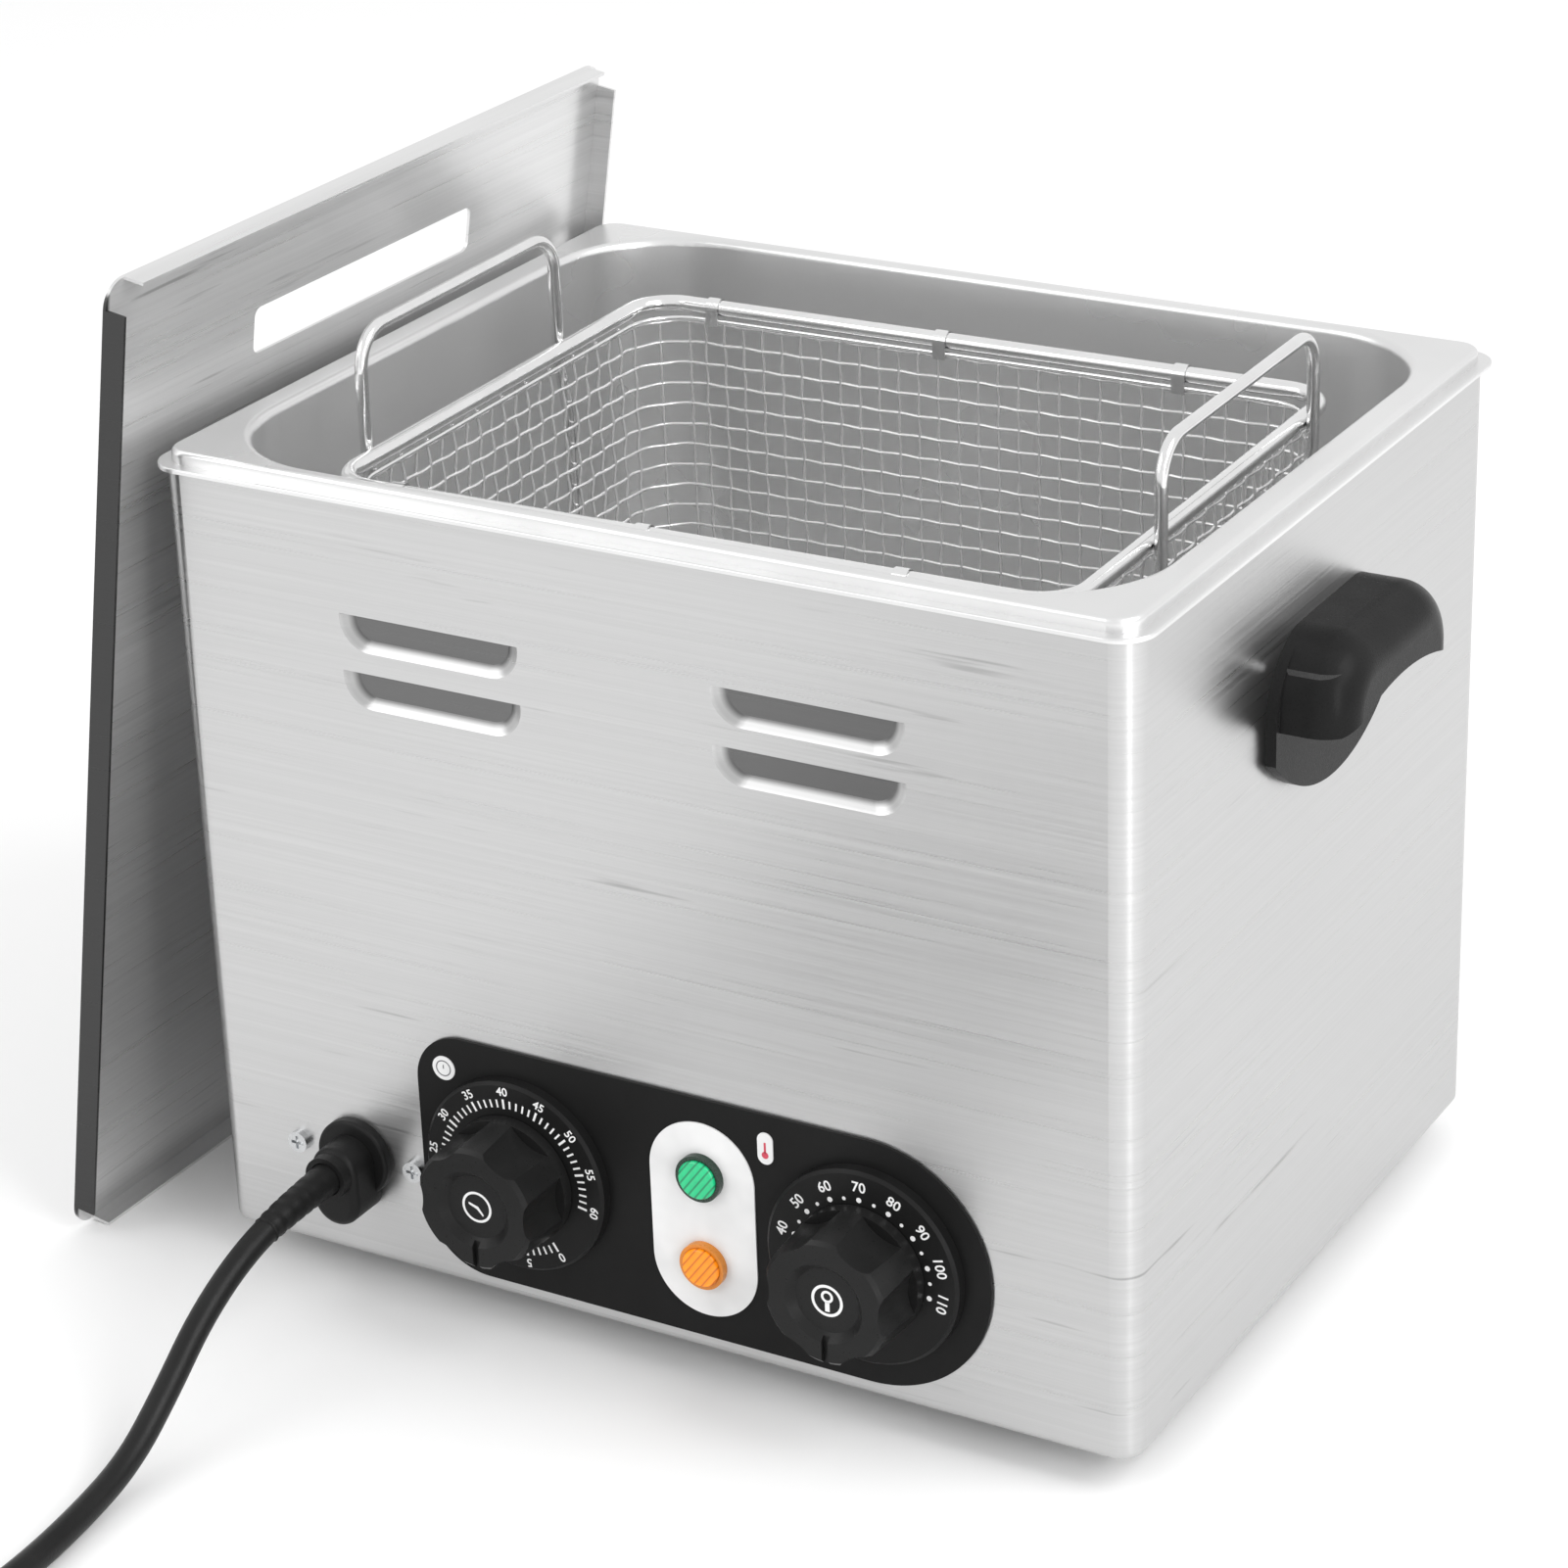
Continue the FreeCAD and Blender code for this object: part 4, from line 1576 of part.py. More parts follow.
def make_plug():
    """The moulded plug, a tapered neck and a rounded body, with its three flat pins let into it."""
    x, y, z = plug_middle()
    neck = doc.addObject("Part::Cone", "plug_neck")
    bind(neck, {"Radius1": D.cord_radius + D.collar_wall / 2, "Radius2": D.plug_neck_radius + D.collar_wall,
                "Height": D.plug_neck_long})
    put(neck, x, y, z, TO_X)
    shell = new_body("plug_shell")
    outline = new_sketch(shell, "XY_Plane", z - D.plug_thick / 2)
    start = x + D.plug_neck_long
    draw_rounded(
        outline, start, start + D.plug_long, y - D.plug_wide / 2, y + D.plug_wide / 2,
        [D.plug_corner] * 4)
    pad(shell, outline, D.plug_thick)
    round_edges(shell, D.plug_corner / 2, lambda box: box.ZLength < 0.01)
    face = start + D.plug_long
    sunk = D.plug_corner / 2
    pins = []
    places = ((-0.5, 0.25, D.pin_tilt), (0.5, 0.25, -D.pin_tilt), (0.0, -0.45, Size.of(0.0)))
    for number, (across, up, tilt) in enumerate(places):
        pin = doc.addObject("Part::Box", f"pin{number}")
        bind(pin, {"Length": D.pin_long + sunk, "Width": D.pin_thick, "Height": D.pin_wide})
        spin = Rotation(Vector(1, 0, 0), float(tilt))
        corner = spin.multVec(Vector(0, float(D.pin_thick) / 2, float(D.pin_wide) / 2))
        put(pin, face - sunk, y + across * D.pin_spread - corner.y, z + up * D.pin_spread - corner.z, spin)
        pins.append(pin)
    pin_set = piece(group("pins_set", pins), "plug_pins")
    piece(cut("plug_cut", fuse("plug_fuse", shell, neck), pin_set), "plug_body")


# ---- build --------------------------------------------------------------------------------------

def build():
    """Make every sub-part."""
    make_casing_wrap()
    make_back_panel()
    make_back_screws()
    make_base_plate()
    make_base_screws()
    make_rubber_feet()
    make_foot_screws()
    make_foot_nuts()
    make_water_tank()
    make_control_panel()
    make_label_plate()
    make_badges()
    for x, word in ((D.timer_x, "timer"), (D.thermostat_x, "thermostat")):
        make_dial(x, f"{word}_dial")
        make_knob(x, f"{word}_knob")
        make_shaft(x, f"{word}_shaft")
        make_control_screws(x, f"{word}_screws")
    make_timer_body()
    make_thermostat_body()
    for z, word in zip(lamp_levels(), ("power", "heat")):
        make_lamp(z, word)
    make_lamp_nuts()
    make_cord_boot()
    make_inlet_clamp()
    make_inlet_screws()
    make_inlet_nuts()
    make_side_handle()
    make_handle_screws()
    make_handle_nuts()
    make_lid()
    make_basket_mesh()
    make_basket_rim()
    make_basket_band()
    make_basket_frame(-1, "basket_handle_left")
    make_basket_frame(1, "basket_handle_right")
    make_heat_spreader()
    make_heating_element()
    make_clamp_bars()
    make_clamp_studs()
    make_clamp_nuts()
    make_thermal_cutout()
    make_thermostat_bulb()
    make_bulb_clips()
    make_capillary()
    make_terminal_block()
    make_terminal_screws()
    make_earth_stud()
    make_leads()
    make_power_cord()
    make_cord_coil()
    make_cord_tie()
    make_plug()


def check_and_write():
    """Stop on any failed object or shape, then write one STEP file for each sub-part."""
    doc.recompute()
    failed = [item.Name for item in doc.Objects if "Invalid" in item.State or "Error" in item.State]
    if failed:
        raise RuntimeError(f"objects failed: {failed}")
    os.makedirs("parts", exist_ok=True)
    for part in PARTS:
        shape = part.Shape
        if shape.isNull() or not shape.isValid() or not shape.Solids:
            raise RuntimeError(f"{part.Label} has no valid solid")
        print(f"{part.Label}: {len(shape.Solids)} solid, {shape.Volume:.0f} mm3")
        shape.exportStep(f"parts/{part.Label}.step")
    print(len(PARTS), "parts")


build()
check_and_write()
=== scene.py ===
"""Looks of a commercial egg boiler: ground casing, drawn tank, wire basket, lid, panel and lead."""

import logging
import math
from dataclasses import dataclass, field
from enum import Enum

import bmesh
import bpy
from mathutils import Matrix, Vector


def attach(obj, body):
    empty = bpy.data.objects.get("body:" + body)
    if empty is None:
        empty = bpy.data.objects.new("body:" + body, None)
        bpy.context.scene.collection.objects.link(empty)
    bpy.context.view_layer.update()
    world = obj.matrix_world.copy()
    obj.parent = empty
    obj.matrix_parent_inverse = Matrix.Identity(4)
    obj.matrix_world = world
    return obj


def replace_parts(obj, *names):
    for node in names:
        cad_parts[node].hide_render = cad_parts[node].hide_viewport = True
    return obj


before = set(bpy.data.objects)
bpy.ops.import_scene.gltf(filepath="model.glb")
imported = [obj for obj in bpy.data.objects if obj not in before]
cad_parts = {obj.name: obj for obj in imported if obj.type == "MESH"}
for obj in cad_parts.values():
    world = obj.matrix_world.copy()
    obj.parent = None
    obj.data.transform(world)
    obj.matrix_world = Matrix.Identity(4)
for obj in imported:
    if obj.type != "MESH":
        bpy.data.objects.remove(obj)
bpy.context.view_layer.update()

LOG = logging.getLogger("egg_boiler")
MM = 0.001
UP = Vector((0.0, 0.0, 1.0))
QUARTERS = ((1, 1), (-1, 1), (-1, -1), (1, -1))
RIB_ANGLE = 0.65
RIB_PITCH = 2.1 * MM

Colour = tuple[float, float, float]
Point = tuple[float, float, float]
Socket = bpy.types.NodeSocket
Node = bpy.types.Node
Tree = bpy.types.NodeTree
Build = bmesh.types.BMesh
Ring = list[bmesh.types.BMVert]


class Body(Enum):
    """The rigid bodies that pieces ride on."""

    HOUSING = "housing"
    TIMER_KNOB = "timer_knob"
    THERMOSTAT_KNOB = "thermostat_knob"
    BASKET = "basket"


class Slot(Enum):
    """Material slots of the record; nothing here takes a finish from them."""

    WIRE = "bright_wire"
    LABEL = "label_white"
    GREEN = "lamp_green"
    ORANGE = "lamp_orange"
    CORD = "cord_black"


# ---- node trees ---------------------------------------------------------------------------------

class Graph:
    """Places nodes in a tree and joins them by socket name."""

    def __init__(self, tree: Tree) -> None:
        """Keep the tree of a material or a group."""
        self.tree = tree

    def join(self, value: object, socket: Socket) -> None:
        """Link an input to an output socket, or set it to a plain value.

        Args:
            value: The output socket or the value.
            socket: The input.
        """
        if isinstance(value, Socket):
            self.tree.links.new(value, socket)
        else:
            socket.default_value = value

    def feed(self, node: Node, inputs: dict[str | int, object]) -> Node:
        """Link or set inputs of a node.

        Args:
            node: The node.
            inputs: Values or output sockets, by the input's name or number.

        Returns:
            The same node.
        """
        for key, value in inputs.items():
            self.join(value, node.inputs[key])
        return node

    def add(self, kind: str, inputs: dict[str | int, object] | None = None,
            **settings: object) -> Node:
        """Add a node.

        Args:
            kind: Its type name without the ShaderNode prefix.
            inputs: Values or output sockets for the node's inputs, by name or number.
            settings: Properties of the node itself.

        Returns:
            The new node.
        """
        node = self.tree.nodes.new(f"ShaderNode{kind}")
        for key, value in settings.items():
            setattr(node, key, value)
        return self.feed(node, inputs or {})

    def split(self, vector: Socket) -> bpy.types.bpy_prop_collection:
        """The three parts of a vector, by axis name."""
        return self.add("SeparateXYZ", {0: vector}).outputs

    def maths(self, operation: str, first: object, second: object = 0.0,
              clamp: bool = False) -> Socket:
        """Add a math node.

        Args:
            operation: What it does, such as SUBTRACT or SINE.
            first: First value or socket.
            second: Second value or socket.
            clamp: Whether the result stays between 0 and 1.

        Returns:
            The result's socket.
        """
        node = self.add("Math", {0: first, 1: second}, operation=operation, use_clamp=clamp)
        return node.outputs[0]

    def times(self, first: object, second: object) -> Socket:
        """The product of two numbers or sockets."""
        return self.maths("MULTIPLY", first, second)

    def stretch(self, vector: Socket, scale: object) -> Socket:
        """A vector with each part multiplied by the scale's own."""
        return self.add("VectorMath", {0: vector, 1: scale}, operation="MULTIPLY").outputs[0]

    def noise(self, vector: Socket, scale: object, detail: float,
              roughness: float = 0.5) -> Socket:
        """Add a noise texture.

        Args:
            vector: Where it is read.
            scale: Its fineness, as a value or a socket.
            detail: How many finer layers it has.
            roughness: How strong the finer layers are.

        Returns:
            The noise's socket.
        """
        inputs = {"Vector": vector, "Scale": scale, "Detail": detail, "Roughness": roughness}
        return self.add("TexNoise", inputs).outputs["Fac"]

    def spread(self, value: object, low: float, high: float, to_low: float = 0.0,
               to_high: float = 1.0) -> Socket:
        """Map a range of values onto another, clamped.

        Args:
            value: Socket to map.
            low: Start of its range.
            high: End of its range.
            to_low: Result at the start.
            to_high: Result at the end.

        Returns:
            The result's socket.
        """
        inputs = {"Value": value, "From Min": low, "From Max": high,
                  "To Min": to_low, "To Max": to_high}
        return self.add("MapRange", inputs).outputs["Result"]

    def blend(self, factor: object, first: object, second: object) -> Socket:
        """Mix two colours.

        Args:
            factor: Share of the second colour.
            first: First colour or socket.
            second: Second colour or socket.

        Returns:
            The mixed colour's socket.
        """
        node = self.add("Mix", data_type="RGBA")
        for key, value in {"Factor": factor, "A": first, "B": second}.items():
            self.join(value, [s for s in node.inputs if s.name == key and s.enabled][-1])
        return [s for s in node.outputs if s.enabled][0]


def new_group(name: str, inputs: dict[str, float | None],
              outputs: tuple[str, ...]) -> tuple[Graph, Node, Node]:
    """Start a shader node group with named sockets.

    Args:
        name: Name of the group.
        inputs: Default of each number, or None for a vector.
        outputs: Names of the numbers that it puts out.

    Returns:
        Its graph, its input node and its output node.
    """
    tree = bpy.data.node_groups.new(name, "ShaderNodeTree")
    for key, default in inputs.items():
        kind = "NodeSocketVector" if default is None else "NodeSocketFloat"
        socket = tree.interface.new_socket(key, in_out="INPUT", socket_type=kind)
        if default is not None:
            socket.default_value = default
    for key in outputs:
        tree.interface.new_socket(key, in_out="OUTPUT", socket_type="NodeSocketFloat")
    return Graph(tree), tree.nodes.new("NodeGroupInput"), tree.nodes.new("NodeGroupOutput")


def brushed_lines() -> Tree:
    """Straight grinding lines, long across a sheet and fine in height.

    Returns:
        Group with the lines' tone, the sparse deep scratches and a height.
    """
    dash_stretch = (2.6, 2.6, 0.33)
    rarest, share_gain, sharpness = 0.74, 0.2, 9.0
    graph, entry, leave = new_group(
        "brushed_lines", {"Vector": None, "Along": 5.0, "Across": 900.0, "Scratch Share": 0.3},
        ("Tone", "Scratches", "Height"))
    given = entry.outputs
    scale = graph.add("CombineXYZ", {"X": given["Along"], "Y": given["Along"],
                                     "Z": given["Across"]})
    place = graph.stretch(given["Vector"], scale.outputs[0])
    fine = graph.noise(place, scale=1.0, detail=3.0, roughness=0.65)
    long = graph.stretch(place, dash_stretch)
    dash = graph.noise(long, scale=1.0, detail=2.0, roughness=0.6)
    patch = graph.noise(given["Vector"], scale=9.0, detail=1.0)
    edge = graph.maths("SUBTRACT", rarest, graph.times(given["Scratch Share"], share_gain))
    deep = graph.maths("MULTIPLY", graph.maths("SUBTRACT", dash, edge), sharpness, clamp=True)
    scratches = graph.times(deep, graph.spread(patch, 0.42, 0.62))
    tone = graph.spread(fine, 0.25, 0.75)
    height = graph.maths("SUBTRACT", tone, scratches)
    graph.feed(leave, {"Tone": tone, "Scratches": scratches, "Height": height})
    return graph.tree


def soft_mottle() -> Tree:
    """Slow cloudy changes of a surface, with a finer speckle.

    Returns:
        Group with clouds, speckle and a height.
    """
    cloud_height = 0.3
    graph, entry, leave = new_group(
        "soft_mottle", {"Vector": None, "Cloud Scale": 12.0, "Speckle Scale": 900.0},
        ("Clouds", "Speckle", "Height"))
    given = entry.outputs
    clouds = graph.noise(given["Vector"], given["Cloud Scale"], detail=3.0)
    speckle = graph.noise(given["Vector"], given["Speckle Scale"], detail=2.0, roughness=0.6)
    cloud = graph.spread(clouds, 0.3, 0.7)
    speck = graph.spread(speckle, 0.3, 0.7)
    height = graph.maths("ADD", graph.times(cloud, cloud_height), speck)
    graph.feed(leave, {"Clouds": cloud, "Speckle": speck, "Height": height})
    return graph.tree


def settled_dust() -> Tree:
    """Faint dust that lies on faces turned up.

    Returns:
        Group with a mask.
    """
    graph, entry, leave = new_group("settled_dust", {"Vector": None, "Amount": 0.1}, ("Mask",))
    normal = graph.add("NewGeometry").outputs["Normal"]
    facing = graph.spread(graph.split(normal)["Z"], 0.3, 1.0)
    grain = graph.noise(entry.outputs["Vector"], scale=60.0, detail=4.0)
    broken = graph.spread(grain, 0.4, 0.7, to_low=0.3)
    mask = graph.maths("MULTIPLY", graph.times(facing, broken), entry.outputs["Amount"],
                       clamp=True)
    graph.feed(leave, {"Mask": mask})
    return graph.tree


class Effects:
    """The shared shader groups, each built once."""

    def __init__(self) -> None:
        """Build every group."""
        self.lines = brushed_lines()
        self.mottle = soft_mottle()
        self.dust = settled_dust()


EFFECTS = Effects()


class Shader:
    """A material in the making, laid out in the object's own coordinates."""

    def __init__(self, title: str) -> None:
        """Start the material.

        Args:
            title: Its name.
        """
        self.material = bpy.data.materials.new(title)
        self.material.use_nodes = True
        self.graph = Graph(self.material.node_tree)
        self.principled = self.material.node_tree.nodes["Principled BSDF"]
        self.place = self.graph.add("TexCoord").outputs["Object"]

    def effect(self, group: Tree, inputs: dict[str, object]) -> bpy.types.bpy_prop_collection:
        """Place a shared effect.

        Args:
            group: The effect.
            inputs: Its own values.

        Returns:
            Its outputs, by name.
        """
        return self.graph.add("Group", {"Vector": self.place, **inputs}, node_tree=group).outputs

    def cover(self, colour: Socket, mask: Socket, roughness: float, gain: tuple[float, float],
              plain: dict[str, float]) -> None:
        """Join the surface's colour and roughness, and set its plain values.

        Args:
            colour: Its colour.
            mask: Mask that the roughness follows.
            roughness: Its usual roughness.
            gain: What multiplies it where the mask is 0 and where it is 1.
            plain: Values that are the same all over, by the shader's own socket.
        """
        rough = self.graph.spread(mask, 0.0, 1.0, roughness * gain[0], roughness * gain[1])
        self.graph.feed(self.principled, {"Base Color": colour, "Roughness": rough, **plain})

    def emboss(self, height: Socket, strength: float, distance: float) -> None:
        """Raise the surface.

        Args:
            height: The height over the surface.
            strength: How strongly it shows.
            distance: How far a height of 1 stands up.
        """
        bump = self.graph.add("Bump", {"Height": height, "Strength": strength,
                                       "Distance": distance})
        self.graph.feed(self.principled, {"Normal": bump.outputs[0]})


def grey(value: float) -> tuple[float, float, float, float]:
    """A neutral colour of the given linear value."""
    return (value, value, value, 1.0)


def rgba(colour: Colour, gain: float = 1.0) -> tuple[float, float, float, float]:
    """A colour with full alpha, made lighter or darker by the gain."""
    return (colour[0] * gain, colour[1] * gain, colour[2] * gain, 1.0)


# ---- finishes -----------------------------------------------------------------------------------

@dataclass(frozen=True)
class Finish:
    """A surface finish that makes its material once."""

    name: str

    def material(self) -> bpy.types.Material:
        """Build the material on its first use.

        Returns:
            The material of this finish.
        """
        title = f"{self.name}_finish"
        known = bpy.data.materials.get(title)
        if known:
            return known
        shader = Shader(title)
        self.build(shader)
        return shader.material

    def build(self, shader: Shader) -> None:
        """Fill in the material; each kind of finish has its own way."""
        raise NotImplementedError


@dataclass(frozen=True)
class BrushedSteel(Finish):
    """Ground stainless sheet: fine level lines, a few deeper scratches, stretched highlights."""

    tone: float
    roughness: float = 0.30
    along: float = 5.0
    across: float = 900.0
    scratch_share: float = 0.35
    line_depth: float = 0.07
    stretch: float = 0.7
    metal: float = 1.0
    line_gain: tuple[float, float] = (0.93, 1.05)
    scratch_gain: float = 0.55
    cloud_scale: float = 7.0
    cloud_share: float = 0.06
    cloud_gain: float = 0.7
    gloss_gain: tuple[float, float] = (0.85, 1.2)
    quarter_turn: float = 0.25
    # The flange fields place a painted dark reflection on the lid's front flange.
    flange_y: float | None = None
    flange_tone: float = 0.05
    flange_soft: float = 0.6 * MM
    # The recess fields paint shade into the pressed louvres, darkest in their throats.
    recess_y: float | None = None
    recess_x: float = 0.12
    recess_soft: float = 1.0 * MM
    recess_from: tuple[float, float] = (0.2 * MM, 0.6 * MM)
    recess_to: tuple[float, float] = (6.0 * MM, 7.0 * MM)
    throat_from: tuple[float, float] = (1.2 * MM, 2.2 * MM)
    recess_tone: float = 0.50
    throat_tone: float = 0.16

    def flange(self, shader: Shader, colour: Socket) -> Socket:
        """Darken what lies in front of the flange's edge: a painted dark reflection.

        Args:
            shader: The material in the making.
            colour: The sheet's colour.

        Returns:
            The colour with the flange's painted dark reflection in it.
        """
        graph = shader.graph
        edge = graph.spread(graph.split(shader.place)["Y"], self.flange_y - self.flange_soft,
                            self.flange_y + self.flange_soft, 1.0, 0.0)
        return graph.blend(edge, colour, grey(self.flange_tone))

    def recess(self, shader: Shader, colour: Socket) -> Socket:
        """Paint shade into the pressed louvres just behind the front face.

        Args:
            shader: The material in the making.
            colour: The sheet's colour.

        Returns:
            The colour with the louvres' painted shade in it.
        """
        graph = shader.graph
        parts = graph.split(shader.place)
        middle = graph.spread(graph.maths("ABSOLUTE", parts["X"]), self.recess_x,
                              self.recess_x + self.recess_soft, 1.0, 0.0)
        depth = graph.maths("SUBTRACT", parts["Y"], self.recess_y)
        near = graph.spread(depth, *self.recess_to, 1.0, 0.0)
        inside = graph.times(graph.times(middle, near), graph.spread(depth, *self.recess_from))
        shade = graph.blend(graph.spread(depth, *self.throat_from), grey(self.recess_tone),
                            grey(self.throat_tone))
        return graph.blend(inside, colour, shade)

    def build(self, shader: Shader) -> None:
        """Fill in the ground sheet.

        Args:
            shader: The material in the making.
        """
        graph = shader.graph
        lines = shader.effect(EFFECTS.lines, {"Along": self.along, "Across": self.across,
                                              "Scratch Share": self.scratch_share})
        mottle = shader.effect(EFFECTS.mottle, {"Cloud Scale": self.cloud_scale})
        low, high = (grey(self.tone * gain) for gain in self.line_gain)
        ground = graph.blend(lines["Tone"], low, high)
        scratched = graph.blend(lines["Scratches"], ground, grey(self.tone * self.scratch_gain))
        shade = graph.spread(mottle["Clouds"], 0.0, 1.0, to_high=self.cloud_share)
        colour = graph.blend(shade, scratched, grey(self.tone * self.cloud_gain))
        # Where set, a painted dark reflection darkens the lid's front flange.
        if self.flange_y is not None:
            colour = self.flange(shader, colour)
        # Where set, painted shade darkens the pressed louvres.
        if self.recess_y is not None:
            colour = self.recess(shader, colour)
        shader.cover(colour, lines["Tone"], self.roughness, self.gloss_gain,
                     {"Metallic": self.metal, "Anisotropic": self.stretch,
                      "Anisotropic Rotation": self.quarter_turn})
        shader.emboss(lines["Height"], self.line_depth, 0.5 * MM)
        tangent = graph.add("Tangent", direction_type="RADIAL", axis="Z")
        graph.feed(shader.principled, {"Tangent": tangent.outputs[0]})


@dataclass(frozen=True)
class SatinSteel(Finish):
    """Drawn or rolled stainless without grinding lines."""

    tone: float
    roughness: float
    contrast: float = 0.08
    metal: float = 1.0
    gloss_gain: tuple[float, float] = (1.15, 0.85)
    relief: float = 0.05

    def build(self, shader: Shader) -> None:
        """Fill in the satin sheet.

        Args:
            shader: The material in the making.
        """
        mottle = shader.effect(EFFECTS.mottle, {"Cloud Scale": 14.0, "Speckle Scale": 1400.0})
        colour = shader.graph.blend(mottle["Clouds"], grey(self.tone * (1.0 - self.contrast)),
                                    grey(self.tone))
        shader.cover(colour, mottle["Clouds"], self.roughness, self.gloss_gain,
                     {"Metallic": self.metal})
        shader.emboss(mottle["Height"], self.relief, 0.3 * MM)


@dataclass(frozen=True)
class Metal(Finish):
    """A plain metal in its own colour, slightly tarnished."""

    colour: Colour
    roughness: float
    tarnish: float
    metal: float = 1.0
    tarnish_gain: float = 0.45
    gloss_gain: tuple[float, float] = (0.8, 1.25)
    relief: float = 0.04

    def build(self, shader: Shader) -> None:
        """Fill in the metal.

        Args:
            shader: The material in the making.
        """
        mottle = shader.effect(EFFECTS.mottle, {"Cloud Scale": 90.0, "Speckle Scale": 1800.0})
        share = shader.graph.times(mottle["Clouds"], self.tarnish)
        colour = shader.graph.blend(share, rgba(self.colour),
                                    rgba(self.colour, self.tarnish_gain))
        shader.cover(colour, mottle["Speckle"], self.roughness, self.gloss_gain,
                     {"Metallic": self.metal})
        shader.emboss(mottle["Height"], self.relief, 0.2 * MM)


@dataclass(frozen=True)
class Moulded(Finish):
    """Moulded plastic or rubber with a fine sparked grain."""

    colour: Colour
    roughness: float
    grain: float
    grain_scale: float = 1500.0
    dust: float = 0.02
    dust_tone: float = 0.35
    shine: float = 0.5
    cloud_gain: tuple[float, float] = (0.85, 1.1)
    gloss_gain: tuple[float, float] = (0.85, 1.15)

    def build(self, shader: Shader) -> None:
        """Fill in the moulding.

        Args:
            shader: The material in the making.
        """
        mottle = shader.effect(EFFECTS.mottle, {"Cloud Scale": 35.0,
                                                "Speckle Scale": self.grain_scale})
        dust = shader.effect(EFFECTS.dust, {"Amount": self.dust})
        low, high = (rgba(self.colour, gain) for gain in self.cloud_gain)
        plain = shader.graph.blend(mottle["Clouds"], low, high)
        colour = shader.graph.blend(dust["Mask"], plain, grey(self.dust_tone))
        shader.cover(colour, mottle["Speckle"], self.roughness, self.gloss_gain,
                     {"Specular IOR Level": self.shine})
        shader.emboss(mottle["Height"], self.grain, 0.2 * MM)


@dataclass(frozen=True)
class Paper(Finish):
    """A plain matt sheet of one colour."""

    tone: float = 0.9

    def build(self, shader: Shader) -> None:
        """Set the sheet's plain values."""
        shader.graph.feed(shader.principled, {"Base Color": grey(self.tone), "Roughness": 1.0,
                                              "Specular IOR Level": 0.0})


@dataclass(frozen=True)
class LampGlass(Finish):
    """Tinted ribbed lamp lens, with painted shade where its ribs meet."""

    colour: Colour
    dark: Colour
    glow: float = 0.25
    valley_edge: float = -0.35
    valley_share: float = 0.8
    cloud_gain: tuple[float, float] = (0.9, 1.1)
    roughness: float = 0.18
    gloss_gain: tuple[float, float] = (1.0, 1.4444)
    coat: float = 0.25
    coat_roughness: float = 0.08

    def build(self, shader: Shader) -> None:
        """Fill in the lens.

        Args:
            shader: The material in the making.
        """
        graph = shader.graph
        parts = graph.split(shader.place)
        run = graph.maths("SUBTRACT", graph.times(parts["X"], math.cos(RIB_ANGLE)),
                          graph.times(parts["Z"], math.sin(RIB_ANGLE)))
        wave = graph.maths("SINE", graph.times(run, 2 * math.pi / RIB_PITCH))
        # Painted shade: the colour darkens in stripes that follow the ribs.
        valley = graph.spread(wave, -1.0, self.valley_edge, self.valley_share, 0.0)
        mottle = shader.effect(EFFECTS.mottle, {"Cloud Scale": 200.0})
        low, high = (rgba(self.colour, gain) for gain in self.cloud_gain)
        soft = graph.blend(mottle["Clouds"], low, high)
        colour = graph.blend(valley, soft, rgba(self.dark))
        shader.cover(colour, mottle["Speckle"], self.roughness, self.gloss_gain,
                     {"Emission Strength": self.glow, "Coat Weight": self.coat,
                      "Coat Roughness": self.coat_roughness})
        graph.feed(shader.principled, {"Emission Color": colour})


JET = (0.010, 0.010, 0.010)

# The casing's pressed louvres get painted shade.
CASING_STEEL = BrushedSteel("casing_brushed_steel", tone=0.57, recess_y=-126.5 * MM)
# The lid's front flange gets a painted dark reflection.
LID_STEEL = BrushedSteel("lid_brushed_steel", tone=0.72, scratch_share=0.5, metal=0.75,
                         flange_y=-139.2 * MM)
BACK_STEEL = BrushedSteel("back_brushed_steel", tone=0.56, scratch_share=0.2)
TANK_STEEL = SatinSteel("tank_drawn_steel", tone=0.78, roughness=0.30, metal=0.85)
BASE_STEEL = SatinSteel("base_rolled_steel", tone=0.5, roughness=0.4)
WIRE = Metal("basket_bright_wire", colour=(0.84, 0.84, 0.84), roughness=0.14, tarnish=0.1)
MESH_WIRE = Metal("basket_mesh_wire", colour=(0.80, 0.80, 0.80), roughness=0.20, tarnish=0.08,
                  metal=0.65)
SCREW_ZINC = Metal("screw_zinc", colour=(0.66, 0.67, 0.68), roughness=0.24, tarnish=0.35)
ALUMINIUM = Metal("spreader_aluminium", colour=(0.7, 0.71, 0.72), roughness=0.42, tarnish=0.3)
SHEATH = Metal("element_sheath", colour=(0.3, 0.3, 0.28), roughness=0.5, tarnish=0.5)
COPPER = Metal("bulb_copper", colour=(0.78, 0.42, 0.26), roughness=0.3, tarnish=0.4)
BRASS = Metal("terminal_brass", colour=(0.74, 0.56, 0.27), roughness=0.28, tarnish=0.3)
PLATE_BLACK = Moulded("panel_black", colour=JET, roughness=0.42, grain=0.05, shine=0.1)
DIAL_BLACK = Moulded("dial_black", colour=JET, roughness=0.40, grain=0.05, shine=0.12)
KNOB_BLACK = Moulded("knob_black", colour=(0.011, 0.011, 0.011), roughness=0.32, grain=0.06,
                     shine=0.18)
HANDLE_BLACK = Moulded("handle_black", colour=(0.014, 0.014, 0.014), roughness=0.30, grain=0.10,
                       shine=0.06)
LABEL_WHITE = Moulded("label_white", colour=(0.80, 0.80, 0.80), roughness=0.4, grain=0.03, dust=0.0)
